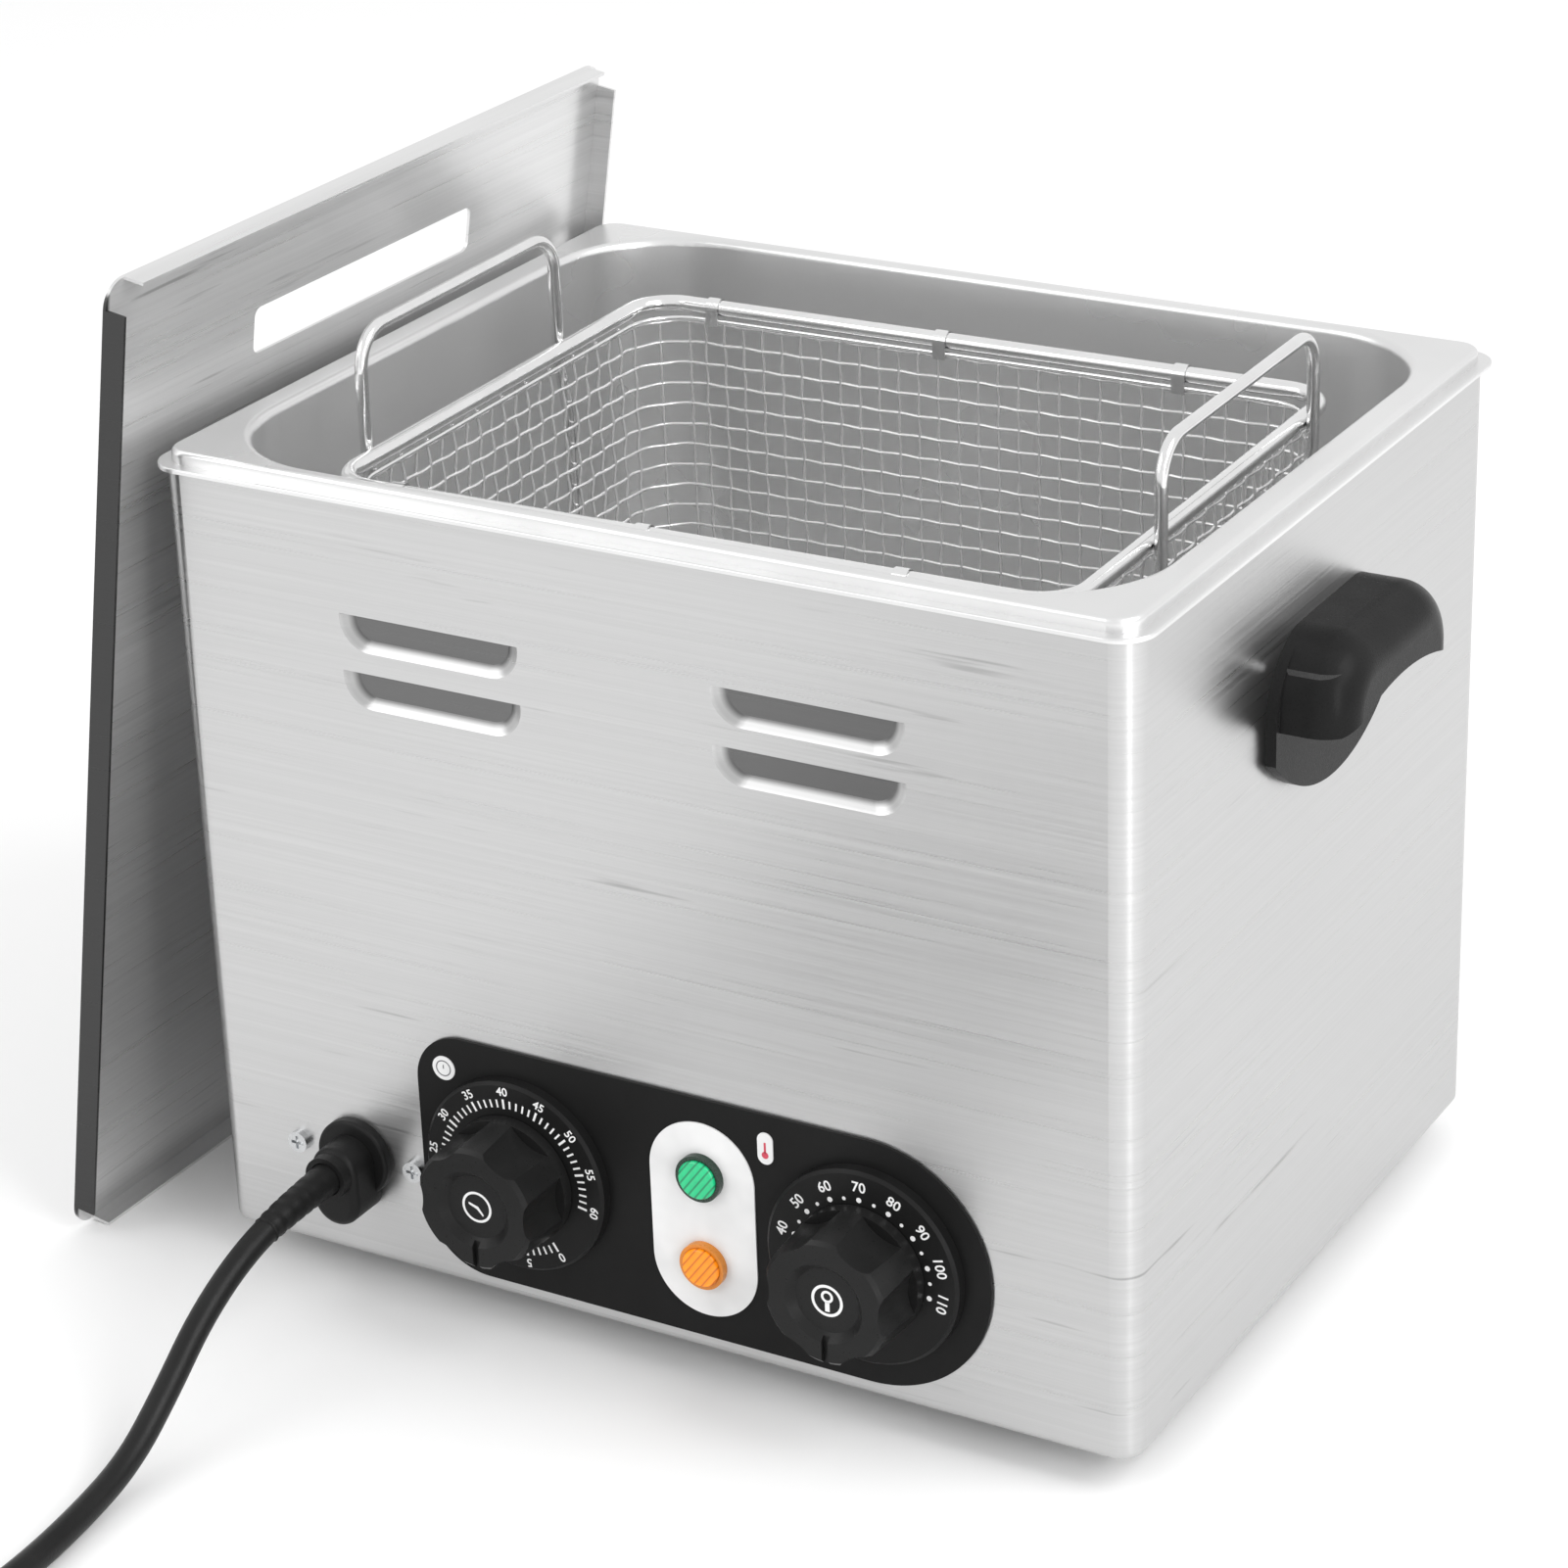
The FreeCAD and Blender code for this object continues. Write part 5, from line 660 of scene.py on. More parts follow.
PRINT_WHITE = Moulded("print_white", colour=(0.86, 0.86, 0.86), roughness=0.5, grain=0.02, dust=0.0)
PRINT_GREY = Moulded("print_grey", colour=(0.12, 0.12, 0.13), roughness=0.5, grain=0.02, dust=0.0)
PRINT_RED = Moulded("print_red", colour=(0.62, 0.06, 0.10), roughness=0.5, grain=0.02, dust=0.0)
BOOT_RUBBER = Moulded("boot_rubber", colour=JET, roughness=0.42, grain=0.15, shine=0.15)
CORD_RUBBER = Moulded("cord_rubber", colour=JET, roughness=0.36, grain=0.15, shine=0.2)
PLUG_RUBBER = Moulded("plug_rubber", colour=(0.014, 0.014, 0.015), roughness=0.45, grain=0.2)
FOOT_RUBBER = Moulded("foot_rubber", colour=(0.025, 0.025, 0.025), roughness=0.6, grain=0.25)
CASE_PLASTIC = Moulded("case_plastic", colour=(0.52, 0.50, 0.45), roughness=0.5, grain=0.1)
LEAD_BLUE = Moulded("lead_blue", colour=(0.03, 0.10, 0.42), roughness=0.4, grain=0.05)
BEZEL_DARK = Moulded("bezel_dark", colour=(0.010, 0.030, 0.018), roughness=0.28, grain=0.03,
                     dust=0.0)
BEZEL_ORANGE = Moulded("bezel_orange", colour=(0.70, 0.24, 0.02), roughness=0.3, grain=0.03,
                       dust=0.0)
LENS_GREEN = LampGlass("lens_green", colour=(0.012, 0.46, 0.19), dark=(0.004, 0.11, 0.05))
LENS_ORANGE = LampGlass("lens_orange", colour=(0.95, 0.27, 0.0), dark=(0.42, 0.08, 0.0))
FLOOR_PAPER = Paper("floor_paper")


# ---- pieces -------------------------------------------------------------------------------------

def dress(finish: Finish, *nodes: str) -> None:
    """Give CAD nodes a finish, in all their material slots.

    Args:
        finish: The finish.
        nodes: Names of the nodes.
    """
    material = finish.material()
    for name in nodes:
        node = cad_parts[name]
        if not node.material_slots:
            node.data.materials.append(material)
        for place in node.material_slots:
            place.material = material


def place_object(name: str, data: bpy.types.ID) -> bpy.types.Object:
    """Put a mesh, a curve, a light or a camera in the scene.

    Args:
        name: Name of the object.
        data: What it holds.

    Returns:
        The new object.
    """
    holder = bpy.data.objects.new(name, data)
    bpy.context.scene.collection.objects.link(holder)
    return holder


def add_piece(name: str, bm: Build, body: Body, finish: Finish,
              smooth: bool = True) -> bpy.types.Object:
    """Turn built faces into a piece that rides on a body.

    Args:
        name: Name of the piece.
        bm: Its faces, in metres in the shared frame.
        body: The body it moves with.
        finish: Its finish.
        smooth: Whether its faces are shaded smooth.

    Returns:
        The new object.
    """
    mesh = bpy.data.meshes.new(name)
    bmesh.ops.recalc_face_normals(bm, faces=bm.faces)
    for face in bm.faces:
        face.smooth = smooth
    bm.to_mesh(mesh)
    bm.free()
    mesh.materials.append(finish.material())
    piece = place_object(name, mesh)
    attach(piece, body.value)
    LOG.info("%s: %d faces on %s", name, len(mesh.polygons), body.value)
    return piece


def circle(count: int) -> list[tuple[float, float]]:
    """Cosine and sine of evenly spaced angles, a full turn in all."""
    angles = [2 * math.pi * step / count for step in range(count)]
    return [(math.cos(angle), math.sin(angle)) for angle in angles]


def close_band(bm: Build, one: Ring, two: Ring) -> None:
    """Close the band between two rings with as many vertices.

    Args:
        bm: Where it is built.
        one: The first ring.
        two: The next ring.
    """
    for step in range(len(one)):
        after = (step + 1) % len(one)
        bm.faces.new((one[step], one[after], two[after], two[step]))


def smooth_curve(name: str, points: list[Point], resolution: int) -> bpy.types.Curve:
    """Make one smooth open curve that starts and ends at its control points.

    Args:
        name: Name of the curve.
        points: Its control points.
        resolution: Steps between two of them.

    Returns:
        The curve, not yet in the scene.
    """
    curve = bpy.data.curves.new(name, "CURVE")
    curve.dimensions = "3D"
    curve.resolution_u = resolution
    spline = curve.splines.new("NURBS")
    spline.points.add(len(points) - 1)
    for place, point in zip(spline.points, points):
        place.co = (*point, 1.0)
    spline.order_u = 3
    spline.use_endpoint_u = True
    return curve


def curve_mesh(curve: bpy.types.Curve) -> bpy.types.Mesh:
    """Turn a curve or a text into a mesh, and drop it.

    Args:
        curve: The curve or text.

    Returns:
        Its mesh.
    """
    holder = bpy.data.objects.new(curve.name, curve)
    mesh = bpy.data.meshes.new_from_object(holder)
    bpy.data.objects.remove(holder)
    bpy.data.curves.remove(curve)
    return mesh


@dataclass
class Tubes:
    """Round tubes that follow points, gathered into one mesh."""

    sides: int
    bm: Build = field(default_factory=bmesh.new)

    def ring(self, middle: Vector, along: Vector, across: Vector, radius: float) -> Ring:
        """One ring of vertices round a point.

        Args:
            middle: The point.
            along: Direction of the tube there.
            across: A direction that is never along the tube.
            radius: Radius of the ring.

        Returns:
            The ring's vertices.
        """
        first = (across - along * across.dot(along)).normalized()
        second = along.cross(first)
        return [self.bm.verts.new(middle + (first * cosine + second * sine) * radius)
                for cosine, sine in circle(self.sides)]

    def run(self, points: list[Vector], radius: float | list[float], across: Vector,
            closed: bool = False) -> None:
        """Add a tube.

        Args:
            points: Its middle line.
            radius: One radius, or one for each point.
            across: A direction that is never along the tube.
            closed: Whether it joins its own start.
        """
        total = len(points)
        radii = radius if isinstance(radius, list) else [radius] * total
        rings = []
        for number, point in enumerate(points):
            before = points[number - 1] if number or closed else point
            after = points[(number + 1) % total] if number < total - 1 or closed else point
            rings.append(self.ring(point, (after - before).normalized(), across, radii[number]))
        for one, two in zip(rings, rings[1:]):
            close_band(self.bm, one, two)
        if closed:
            close_band(self.bm, rings[-1], rings[0])
        else:
            self.bm.faces.new(rings[0][::-1])
            self.bm.faces.new(rings[-1])


@dataclass
class Print:
    """Thin printed marks laid out round a middle on the front of the appliance."""

    x: float
    z: float
    face: float
    thick: float = 0.06 * MM
    type_swell: float = 0.012
    bm: Build = field(default_factory=bmesh.new)

    def seat(self, radius: float = 0.0, angle: float = 0.0) -> Matrix:
        """Where a mark stands, with its top away from the middle.

        Args:
            radius: Distance from the middle.
            angle: Degrees clockwise from the top.

        Returns:
            Matrix from the mark's own plane to the shared frame.
        """
        lean = math.radians(angle)
        right = Vector((math.cos(lean), 0.0, -math.sin(lean)))
        up = Vector((math.sin(lean), 0.0, math.cos(lean)))
        place = Vector((self.x, self.face, self.z)) + up * radius
        basis = Matrix((right, up, Vector((0.0, -1.0, 0.0)))).transposed()
        return Matrix.Translation(place) @ basis.to_4x4()

    def outline(self, points: list[tuple[float, float]], seat: Matrix) -> None:
        """Add a raised flat shape.

        Args:
            points: Its corners in the mark's own plane.
            seat: Where the mark stands.
        """
        low, high = [[self.bm.verts.new(seat @ Vector((u, v, level))) for u, v in points]
                     for level in (0.0, self.thick)]
        self.bm.faces.new(high)
        self.bm.faces.new(low[::-1])
        close_band(self.bm, low, high)

    def bar(self, wide: float, high: float, radius: float, angle: float) -> None:
        """Add a short radial bar.

        Args:
            wide: Its width.
            high: Its length outwards.
            radius: Distance of its middle.
            angle: Degrees clockwise from the top.
        """
        u, v = wide / 2, high / 2
        self.outline([(-u, -v), (u, -v), (u, v), (-u, v)], self.seat(radius, angle))

    def dot(self, size: float, radius: float, angle: float, steps: int = 20) -> None:
        """Add a round dot.

        Args:
            size: Its radius.
            radius: Distance of its middle.
            angle: Degrees clockwise from the top.
            steps: Number of straight sides.
        """
        self.outline([(size * cosine, size * sine) for cosine, sine in circle(steps)],
                     self.seat(radius, angle))

    def hoop(self, outer: float, inner: float, seat: Matrix, steps: int = 48) -> None:
        """Add a flat ring.

        Args:
            outer: Outer radius.
            inner: Inner radius.
            seat: Where its middle stands.
            steps: Number of straight sides.
        """
        corners = ((outer, 0.0), (outer, self.thick), (inner, self.thick), (inner, 0.0))
        rings = [[self.bm.verts.new(seat @ Vector((radius * cosine, radius * sine, level)))
                  for cosine, sine in circle(steps)] for radius, level in corners]
        for one, two in zip(rings, rings[1:] + rings[:1]):
            close_band(self.bm, one, two)

    def figure(self, text: str, high: float, seat: Matrix) -> None:
        """Add a plain number.

        Args:
            text: The number.
            high: Height of its type.
            seat: Where its middle stands.
        """
        curve = bpy.data.curves.new("figure", "FONT")
        curve.body = text
        curve.size = high
        curve.align_x = "CENTER"
        curve.align_y = "CENTER"
        curve.extrude = self.thick / 2
        curve.resolution_u = 3
        curve.offset = high * self.type_swell
        mesh = curve_mesh(curve)
        mesh.transform(seat @ Matrix.Translation((0.0, 0.0, self.thick / 2)))
        self.bm.from_mesh(mesh)
        bpy.data.meshes.remove(mesh)

    def lay(self, name: str, body: Body, finish: Finish) -> None:
        """Turn the marks into a piece with crisp edges.

        Args:
            name: Name of the piece.
            body: The body it moves with.
            finish: Its ink.
        """
        add_piece(name, self.bm, body, finish, smooth=False)


# ---- sub-assemblies -----------------------------------------------------------------------------

@dataclass
class Casing:
    """The folded shell, its back, base and feet."""

    def dress(self) -> None:
        """Give the shell its ground steel and the fixings their zinc."""
        dress(CASING_STEEL, "casing_wrap")
        dress(BACK_STEEL, "back_panel")
        dress(BASE_STEEL, "base_plate")
        dress(SCREW_ZINC, "back_panel_screws", "base_screws", "foot_screws", "foot_nuts")
        dress(FOOT_RUBBER, "rubber_feet")


@dataclass
class Tank:
    """The drawn tank with its deck and lip."""

    def dress(self) -> None:
        """Give the tank its satin steel."""
        dress(TANK_STEEL, "water_tank")


@dataclass
class Lid:
    """The folded lid that leans on the deck's left edge."""

    def dress(self) -> None:
        """Give the lid its ground steel."""
        dress(LID_STEEL, "lid")


@dataclass
class SideHandle:
    """The hooded grip on the right side."""

    def dress(self) -> None:
        """Give the grip its black moulding and the fixings their zinc."""
        dress(HANDLE_BLACK, "side_handle")
        dress(SCREW_ZINC, "handle_screws", "handle_nuts")


@dataclass
class Basket:
    """The wire basket: woven walls and floor, the thin hem and the rim clips."""

    wide: float = 243.0 * MM
    long: float = 190.0 * MM
    corner: float = 20.0 * MM
    floor_round: float = 10.0 * MM
    skin: float = 1.6 * MM
    floor: float = 128.9 * MM
    top: float = 259.1 * MM
    middle: Point = (2.4 * MM, -2.6 * MM, 0.0)
    turn: float = 0.95
    wire: float = 0.55 * MM
    wire_sides: int = 5
    weave: float = 0.42 * MM
    pitch: float = 7.2 * MM
    samples: int = 3
    first_ring: float = 0.35
    floor_margin: float = 0.3
    bend_steps: int = 8
    corner_count: int = 3
    corner_steps: int = 6
    rim_level: float = 261.95 * MM
    rim_radius: float = 2.75 * MM
    hem: float = 0.8 * MM
    hem_sides: int = 10
    clip_wide: float = 4.5 * MM
    clip_thick: float = 0.5 * MM
    clip_gap: float = 0.1 * MM
    clip_down: float = 5.5 * MM
    clip_bends: range = range(-30, 181, 15)
    clip_places: tuple[float, ...] = (-97.0 * MM, -12.9 * MM, 71.0 * MM)

    def half(self, inset: float) -> tuple[float, float, float]:
        """Half width, half length and corner radius at a distance inside the outer face."""
        return self.wide / 2 - inset, self.long / 2 - inset, self.corner - inset

    def wall(self) -> tuple[float, float]:
        """Highest and lowest level of the walls' upright wires."""
        return self.top - self.wire, self.floor + self.floor_round

    def bend(self) -> float:
        """Radius of the woven surface where the floor turns up."""
        return self.floor_round - self.skin / 2

    def seat(self) -> Matrix:
        """From the basket's own frame to the shared one."""
        return Matrix.Translation(self.middle) @ Matrix.Rotation(math.radians(self.turn), 4, "Z")

    def sway(self, crossings: float, number: int) -> float:
        """How far a wire stands off the woven surface.

        Args:
            crossings: Wires crossed so far.
            number: The wire's place in its row, which sets the weave's side.

        Returns:
            Distance off the surface.
        """
        return math.cos(math.pi * crossings + math.pi * number) * self.weave

    def depth(self, x: float, y: float) -> float:
        """How far a point of the floor lies inside the wall.

        Args:
            x: Across the basket.
            y: Along the basket.

        Returns:
            Distance to the wall, negative outside.
        """
        half_x, half_y, corner = self.half(self.skin / 2)
        past_x = abs(x) - (half_x - corner)
        past_y = abs(y) - (half_y - corner)
        if past_x > 0 and past_y > 0:
            return corner - math.hypot(past_x, past_y)
        return corner - max(past_x, past_y)

    def level(self, inside: float) -> float:
        """Height of the woven surface at a distance inside the wall.

        Args:
            inside: Distance to the wall.

        Returns:
            Height in the shared frame.
        """
        bend = self.bend()
        reach = bend - min(max(inside, 0.0), bend)
        return self.floor + self.skin / 2 + bend - math.sqrt(max(bend * bend - reach * reach, 0.0))

    def rings(self) -> list[float]:
        """Find the wires that run round the walls.

        Returns:
            Their levels, from the floor up.
        """
        high, low = self.wall()
        low += self.pitch * self.first_ring
        return [low + self.pitch * number for number in range(int((high - low) / self.pitch) + 1)]

    def round_wire(self, tubes: Tubes, level: float, number: int) -> None:
        """Add one wire round the walls.

        Args:
            tubes: Where it is built.
            level: Its height.
            number: Its place in the stack, which sets the weave's side.
        """
        half_x, half_y, corner = self.half(self.skin / 2)
        arc = corner * math.pi / 2
        legs = [2 * (half_x - corner), arc, 2 * (half_y - corner), arc] * 2
        total = sum(legs)
        count = 2 * round(total / self.pitch / 2) * self.samples
        points = []
        for step in range(count):
            along = total * step / count
            leg = 0
            while along > legs[leg]:
                along -= legs[leg]
                leg += 1
            side = leg // 2
            heading = math.pi / 2 * side
            ahead = Vector((math.cos(heading), math.sin(heading), 0.0))
            out = Vector((math.sin(heading), -math.cos(heading), 0.0))
            half_run = legs[side * 2] / 2
            half_far = half_x if side % 2 else half_y
            if leg % 2 == 0:
                place = out * half_far + ahead * (along - half_run)
            else:
                centre = out * (half_far - corner) + ahead * half_run
                out = out * math.cos(along / corner) + ahead * math.sin(along / corner)
                place = centre + out * corner
            place += out * self.sway(step / self.samples, number)
            points.append(self.seat() @ Vector((place.x, place.y, level)))
        tubes.run(points, self.wire, UP, closed=True)

    def half_profile(self, across_x: bool, offset: float) -> list[tuple[float, float, Vector]]:
        """Half of a crossing wire, from its end to the basket's middle.

        Args:
            across_x: Whether the wire runs along x, or along y.
            offset: Its distance from the basket's middle.

        Returns:
            Distance from the middle, level and the way the surface faces, at each point.
        """
        half_x, half_y, corner = self.half(self.skin / 2)
        reach, other = (half_x, half_y) if across_x else (half_y, half_x)
        past = abs(offset) - (other - corner)
        profile = []
        if past <= 0:
            edge = reach
            high, low = self.wall()
            steps = int((high - low) / self.pitch * self.samples)
            for step in range(steps):
                profile.append((edge, high - (high - low) * step / steps, Vector((1.0, 0.0))))
        else:
            edge = reach - corner + math.sqrt(max(corner ** 2 - past ** 2, 0.0))
        runs = []
        for step in range(self.bend_steps + 1):
            turn = math.pi / 2 * step / self.bend_steps
            lean = Vector((math.cos(turn), -math.sin(turn)))
            runs.append((edge - self.bend() * (1.0 - math.cos(turn)), lean))
        flat = int((edge - self.bend()) / self.pitch * self.samples)
        for step in range(1, flat):
            runs.append(((edge - self.bend()) * (1.0 - step / flat), Vector((0.0, -1.0))))
        for run, lean in runs:
            depth = self.depth(run, offset) if across_x else self.depth(offset, run)
            profile.append((run, self.level(depth), lean))
        return profile

    def floor_wire(self, tubes: Tubes, across_x: bool, offset: float, number: int) -> None:
        """Add one wire that crosses the floor and, between the corners, climbs both walls.

        Args:
            tubes: Where it is built.
            across_x: Whether it runs along x, or along y.
            offset: Its distance from the basket's middle.
            number: Its place in the row, which sets the weave's side.
        """
        half = self.half_profile(across_x, offset)
        whole = half + [(-run, level, Vector((-lean.x, lean.y)))
                        for run, level, lean in reversed(half)]
        points = []
        length = 0.0
        last = whole[0]
        for run, level, lean in whole:
            length += math.hypot(run - last[0], level - last[1])
            last = (run, level)
            sway = -self.sway(length / self.pitch, number)
            run += lean.x * sway
            level += lean.y * sway
            place = Vector((run, offset, level)) if across_x else Vector((offset, run, level))
            points.append(self.seat() @ place)
        side = Vector((0.0, 1.0, 0.0)) if across_x else Vector((1.0, 0.0, 0.0))
        tubes.run(points, self.wire, side)

    def corner_wires(self, tubes: Tubes) -> None:
        """Add the upright wires of the four rounded corners.

        Args:
            tubes: Where they are built.
        """
        half_x, half_y, corner = self.half(self.skin / 2)
        high, low = self.wall()
        steps = int((high - low) / self.pitch * self.samples)
        for sign_x, sign_y in QUARTERS:
            centre = Vector((sign_x * (half_x - corner), sign_y * (half_y - corner), 0.0))
            for number in range(self.corner_count):
                angle = math.pi / 2 * (number + 0.5) / self.corner_count
                out = Vector((sign_x * math.cos(angle), sign_y * math.sin(angle), 0.0))
                points = []
                for step in range(steps):
                    place = centre + out * (corner + self.sway(step / self.samples, number))
                    place.z = high - (high - low) * step / steps
                    points.append(self.seat() @ place)
                for step in range(self.corner_steps + 1):
                    turn = math.pi / 2 * step / self.corner_steps
                    place = centre + out * (corner - self.bend() * (1.0 - math.cos(turn)))
                    place.z = low - self.bend() * math.sin(turn)
                    points.append(self.seat() @ place)
                tubes.run(points, self.wire, self.seat().to_3x3() @ out.cross(UP))

    def hem_wire(self) -> None:
        """Run the thin hem that the mesh ends in, just inside its upper edge."""
        tubes = Tubes(sides=self.hem_sides)
        half_x, half_y, corner = self.half(self.skin + self.hem)
        points = []
        for quarter, (sign_x, sign_y) in enumerate(QUARTERS):
            for step in range(self.bend_steps + 1):
                angle = math.pi / 2 * (quarter + step / self.bend_steps)
                x = sign_x * (half_x - corner) + corner * math.cos(angle)
                y = sign_y * (half_y - corner) + corner * math.sin(angle)
                points.append(self.seat() @ Vector((x, y, self.top - self.hem)))
        tubes.run(points, self.hem, UP, closed=True)
        hem = add_piece("basket_hem_wire", tubes.bm, Body.BASKET, WIRE)
        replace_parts(hem, "basket_band")

    def clip(self, bm: Build, place: Vector, out: Vector) -> None:
        """Add one thin strip bent over the rim and pressed on the mesh.

        Args:
            bm: Where it is built.
            place: Middle of the rim wire, in the basket's own frame.
            out: Level direction away from the basket's middle.
        """
        along = Vector((-out.y, out.x, 0.0)) * (self.clip_wide / 2)
        inner = self.rim_radius + self.clip_gap
        profiles = []
        for radius in (inner, inner + self.clip_thick):
            bends = [math.radians(degrees) for degrees in self.clip_bends]
            line = [(radius * math.cos(bend), radius * math.sin(bend)) for bend in bends]
            profiles.append(line + [(-radius, -self.clip_down)])
        loop = profiles[0] + profiles[1][::-1]
        rings = [[bm.verts.new(self.seat() @ (place + side + out * run + UP * rise))
                  for run, rise in loop] for side in (along, -along)]
        close_band(bm, *rings)
        count = len(loop)
        for ring in rings:
            for step in range(count // 2 - 1):
                bm.faces.new((ring[step], ring[step + 1],
                              ring[count - 2 - step], ring[count - 1 - step]))

    def clips(self) -> None:
        """Bend the clips that hold the mesh to the rim."""
        bm = bmesh.new()
        for x in self.clip_places:
            for sign in (-1, 1):
                middle = Vector((x, sign * self.long / 2, self.rim_level))
                self.clip(bm, middle, Vector((0.0, float(sign), 0.0)))
        add_piece("basket_rim_clips", bm, Body.BASKET, WIRE, smooth=False)

    def build(self) -> None:
        """Weave the walls and floor, then clip them to the rim."""
        tubes = Tubes(sides=self.wire_sides)
        for number, level in enumerate(self.rings()):
            self.round_wire(tubes, level, number)
        half_x, half_y, corner = self.half(self.skin / 2)
        for across_x, reach in ((True, half_y), (False, half_x)):
            count = int((reach - corner * self.floor_margin) / self.pitch)
            for number in range(-count, count + 1):
                self.floor_wire(tubes, across_x, number * self.pitch, number + int(across_x))
        self.corner_wires(tubes)
        woven = add_piece("basket_woven_wire", tubes.bm, Body.BASKET, MESH_WIRE)
        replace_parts(woven, "basket_mesh")
        self.hem_wire()
        self.clips()

    def dress(self) -> None:
        """Give the rim, strip, grips and plain shell their bright wire."""
        dress(WIRE, "basket_mesh", "basket_rim", "basket_band", "basket_handle_left",
              "basket_handle_right")


@dataclass
class ControlPanel:
    """The black plate with two dials, the pale label and two lamps."""

    level: float = 58.5 * MM
    timer_x: float = -45.5 * MM
    thermostat_x: float = 75.3 * MM
    dial_face: float = -131.8 * MM
    knob_dish: float = -151.9 * MM
    badge_face: float = -127.9 * MM
    badge_level: float = 88.2 * MM
    clock_badge_x: float = -71.4 * MM
    heat_badge_x: float = 41.9 * MM
    lamp_x: float = 19.6 * MM
    lamp_pitch: float = 30.0 * MM
    lens_radius: float = 6.3 * MM
    lens_back: float = -130.3 * MM
    lens_front: float = -131.7 * MM
    lens_edge: float = 1.0 * MM
    lens_steps: int = 72
    lens_rings: int = 22
    rib_depth: float = 0.22 * MM
    minute: float = 5.24
    minutes: int = 60
    timer_zero: float = 146.0
    minute_bar: tuple[float, float] = (0.6 * MM, 2.6 * MM)
    fifth_bar: tuple[float, float] = (0.75 * MM, 3.2 * MM)
    bar_radius: float = 25.0 * MM
    minute_type: tuple[float, float] = (4.0 * MM, 29.0 * MM)
    zero_type: tuple[float, float] = (4.2 * MM, 28.6 * MM)
    degrees: range = range(30, 115, 5)
    degree_top: int = 70
    degree_step: float = 2.5
    small_dot: float = 0.6 * MM
    large_dot: float = 0.85 * MM
    dot_radius: float = 22.9 * MM
    degree_type: tuple[float, float] = (4.7 * MM, 27.0 * MM)

    def timer_scale(self) -> None:
        """Print the minutes round the timer."""
        ink = Print(self.timer_x, self.level, self.dial_face)
        for minute in range(self.minutes + 1):
            angle = self.timer_zero + self.minute * minute
            whole = minute % 5 == 0
            ink.bar(*(self.fifth_bar if whole else self.minute_bar), self.bar_radius, angle)
            if whole:
                size, radius = self.minute_type if minute else self.zero_type
                ink.figure(str(minute), size, ink.seat(radius, angle))
        ink.lay("timer_scale_print", Body.HOUSING, PRINT_WHITE)

    def thermostat_scale(self) -> None:
        """Print the degrees round the thermostat."""
        ink = Print(self.thermostat_x, self.level, self.dial_face)
        size, radius = self.degree_type
        for reading in self.degrees:
            angle = (reading - self.degree_top) * self.degree_step
            whole = reading % 10 == 0
            ink.dot(self.large_dot if whole else self.small_dot, self.dot_radius, angle)
            if whole:
                ink.figure(str(reading), size, ink.seat(radius, angle))
        ink.lay("thermostat_scale_print", Body.HOUSING, PRINT_WHITE)

    def timer_mark(self) -> None:
        """Print a small clock with two hands on the timer knob."""
        ink = Print(self.timer_x, self.level, self.knob_dish)
        ink.hoop(5.2 * MM, 4.4 * MM, ink.seat())
        short = ((0.5, 0.2), (-2.9, 1.2), (-2.9, 0.5), (0.0, -0.7))
        long = ((0.0, -0.7), (2.0, -2.8), (2.3, -2.3), (0.5, 0.2))
        for hand in (short, long):
            ink.outline([(u * MM, v * MM) for u, v in hand], ink.seat())
        ink.lay("timer_knob_mark", Body.TIMER_KNOB, PRINT_WHITE)

    def thermostat_mark(self) -> None:
        """Print a small thermometer in a ring on the thermostat knob."""
        ink = Print(self.thermostat_x, self.level, self.knob_dish)
        ink.hoop(5.2 * MM, 4.3 * MM, ink.seat())
        ink.hoop(2.0 * MM, 1.2 * MM, ink.seat(1.3 * MM))
        u, low, high = 0.75 * MM, -3.6 * MM, -0.5 * MM
        ink.outline([(-u, low), (u, low), (u, high), (-u, high)], ink.seat())
        ink.lay("thermostat_knob_mark", Body.THERMOSTAT_KNOB, PRINT_WHITE)

    def badge_marks(self) -> None:
        """Print the two small badges."""
        clock = Print(self.clock_badge_x, self.badge_level, self.badge_face)
        clock.hoop(2.7 * MM, 2.35 * MM, clock.seat())
        clock.bar(0.35 * MM, 1.3 * MM, 0.5 * MM, 0.0)
        clock.lay("round_badge_print", Body.HOUSING, PRINT_GREY)
        heat = Print(self.heat_badge_x, self.badge_level, self.badge_face)
        heat.dot(1.15 * MM, 2.2 * MM, 180.0)
        heat.bar(0.7 * MM, 3.4 * MM, 0.3 * MM, 0.0)
        heat.lay("pill_badge_print", Body.HOUSING, PRINT_RED)

    def lens_ring(self, bm: Build, number: int, level: float) -> Ring:
        """One ring of the ribbed face, or its single middle point.

        Args:
            bm: Where it is built.
            number: Its place, counted from the middle.
            level: Height of the lens's middle.

        Returns:
            The ring's vertices.
        """
        radius = self.lens_radius * math.sin(math.pi / 2 * number / self.lens_rings)
        near = max(0.0, radius - (self.lens_radius - self.lens_edge)) / self.lens_edge
        fall = self.lens_edge * (1.0 - math.sqrt(max(1.0 - near * near, 0.0)))
        ring = []
        for cosine, sine in circle(self.lens_steps if number else 1):
            x, z = self.lamp_x + radius * cosine, level + radius * sine
            run = x * math.cos(RIB_ANGLE) - z * math.sin(RIB_ANGLE)
            rib = self.rib_depth * (0.5 + 0.5 * math.sin(2 * math.pi * run / RIB_PITCH))
            ring.append(bm.verts.new((x, self.lens_front + fall + rib * (1.0 - near), z)))
        return ring

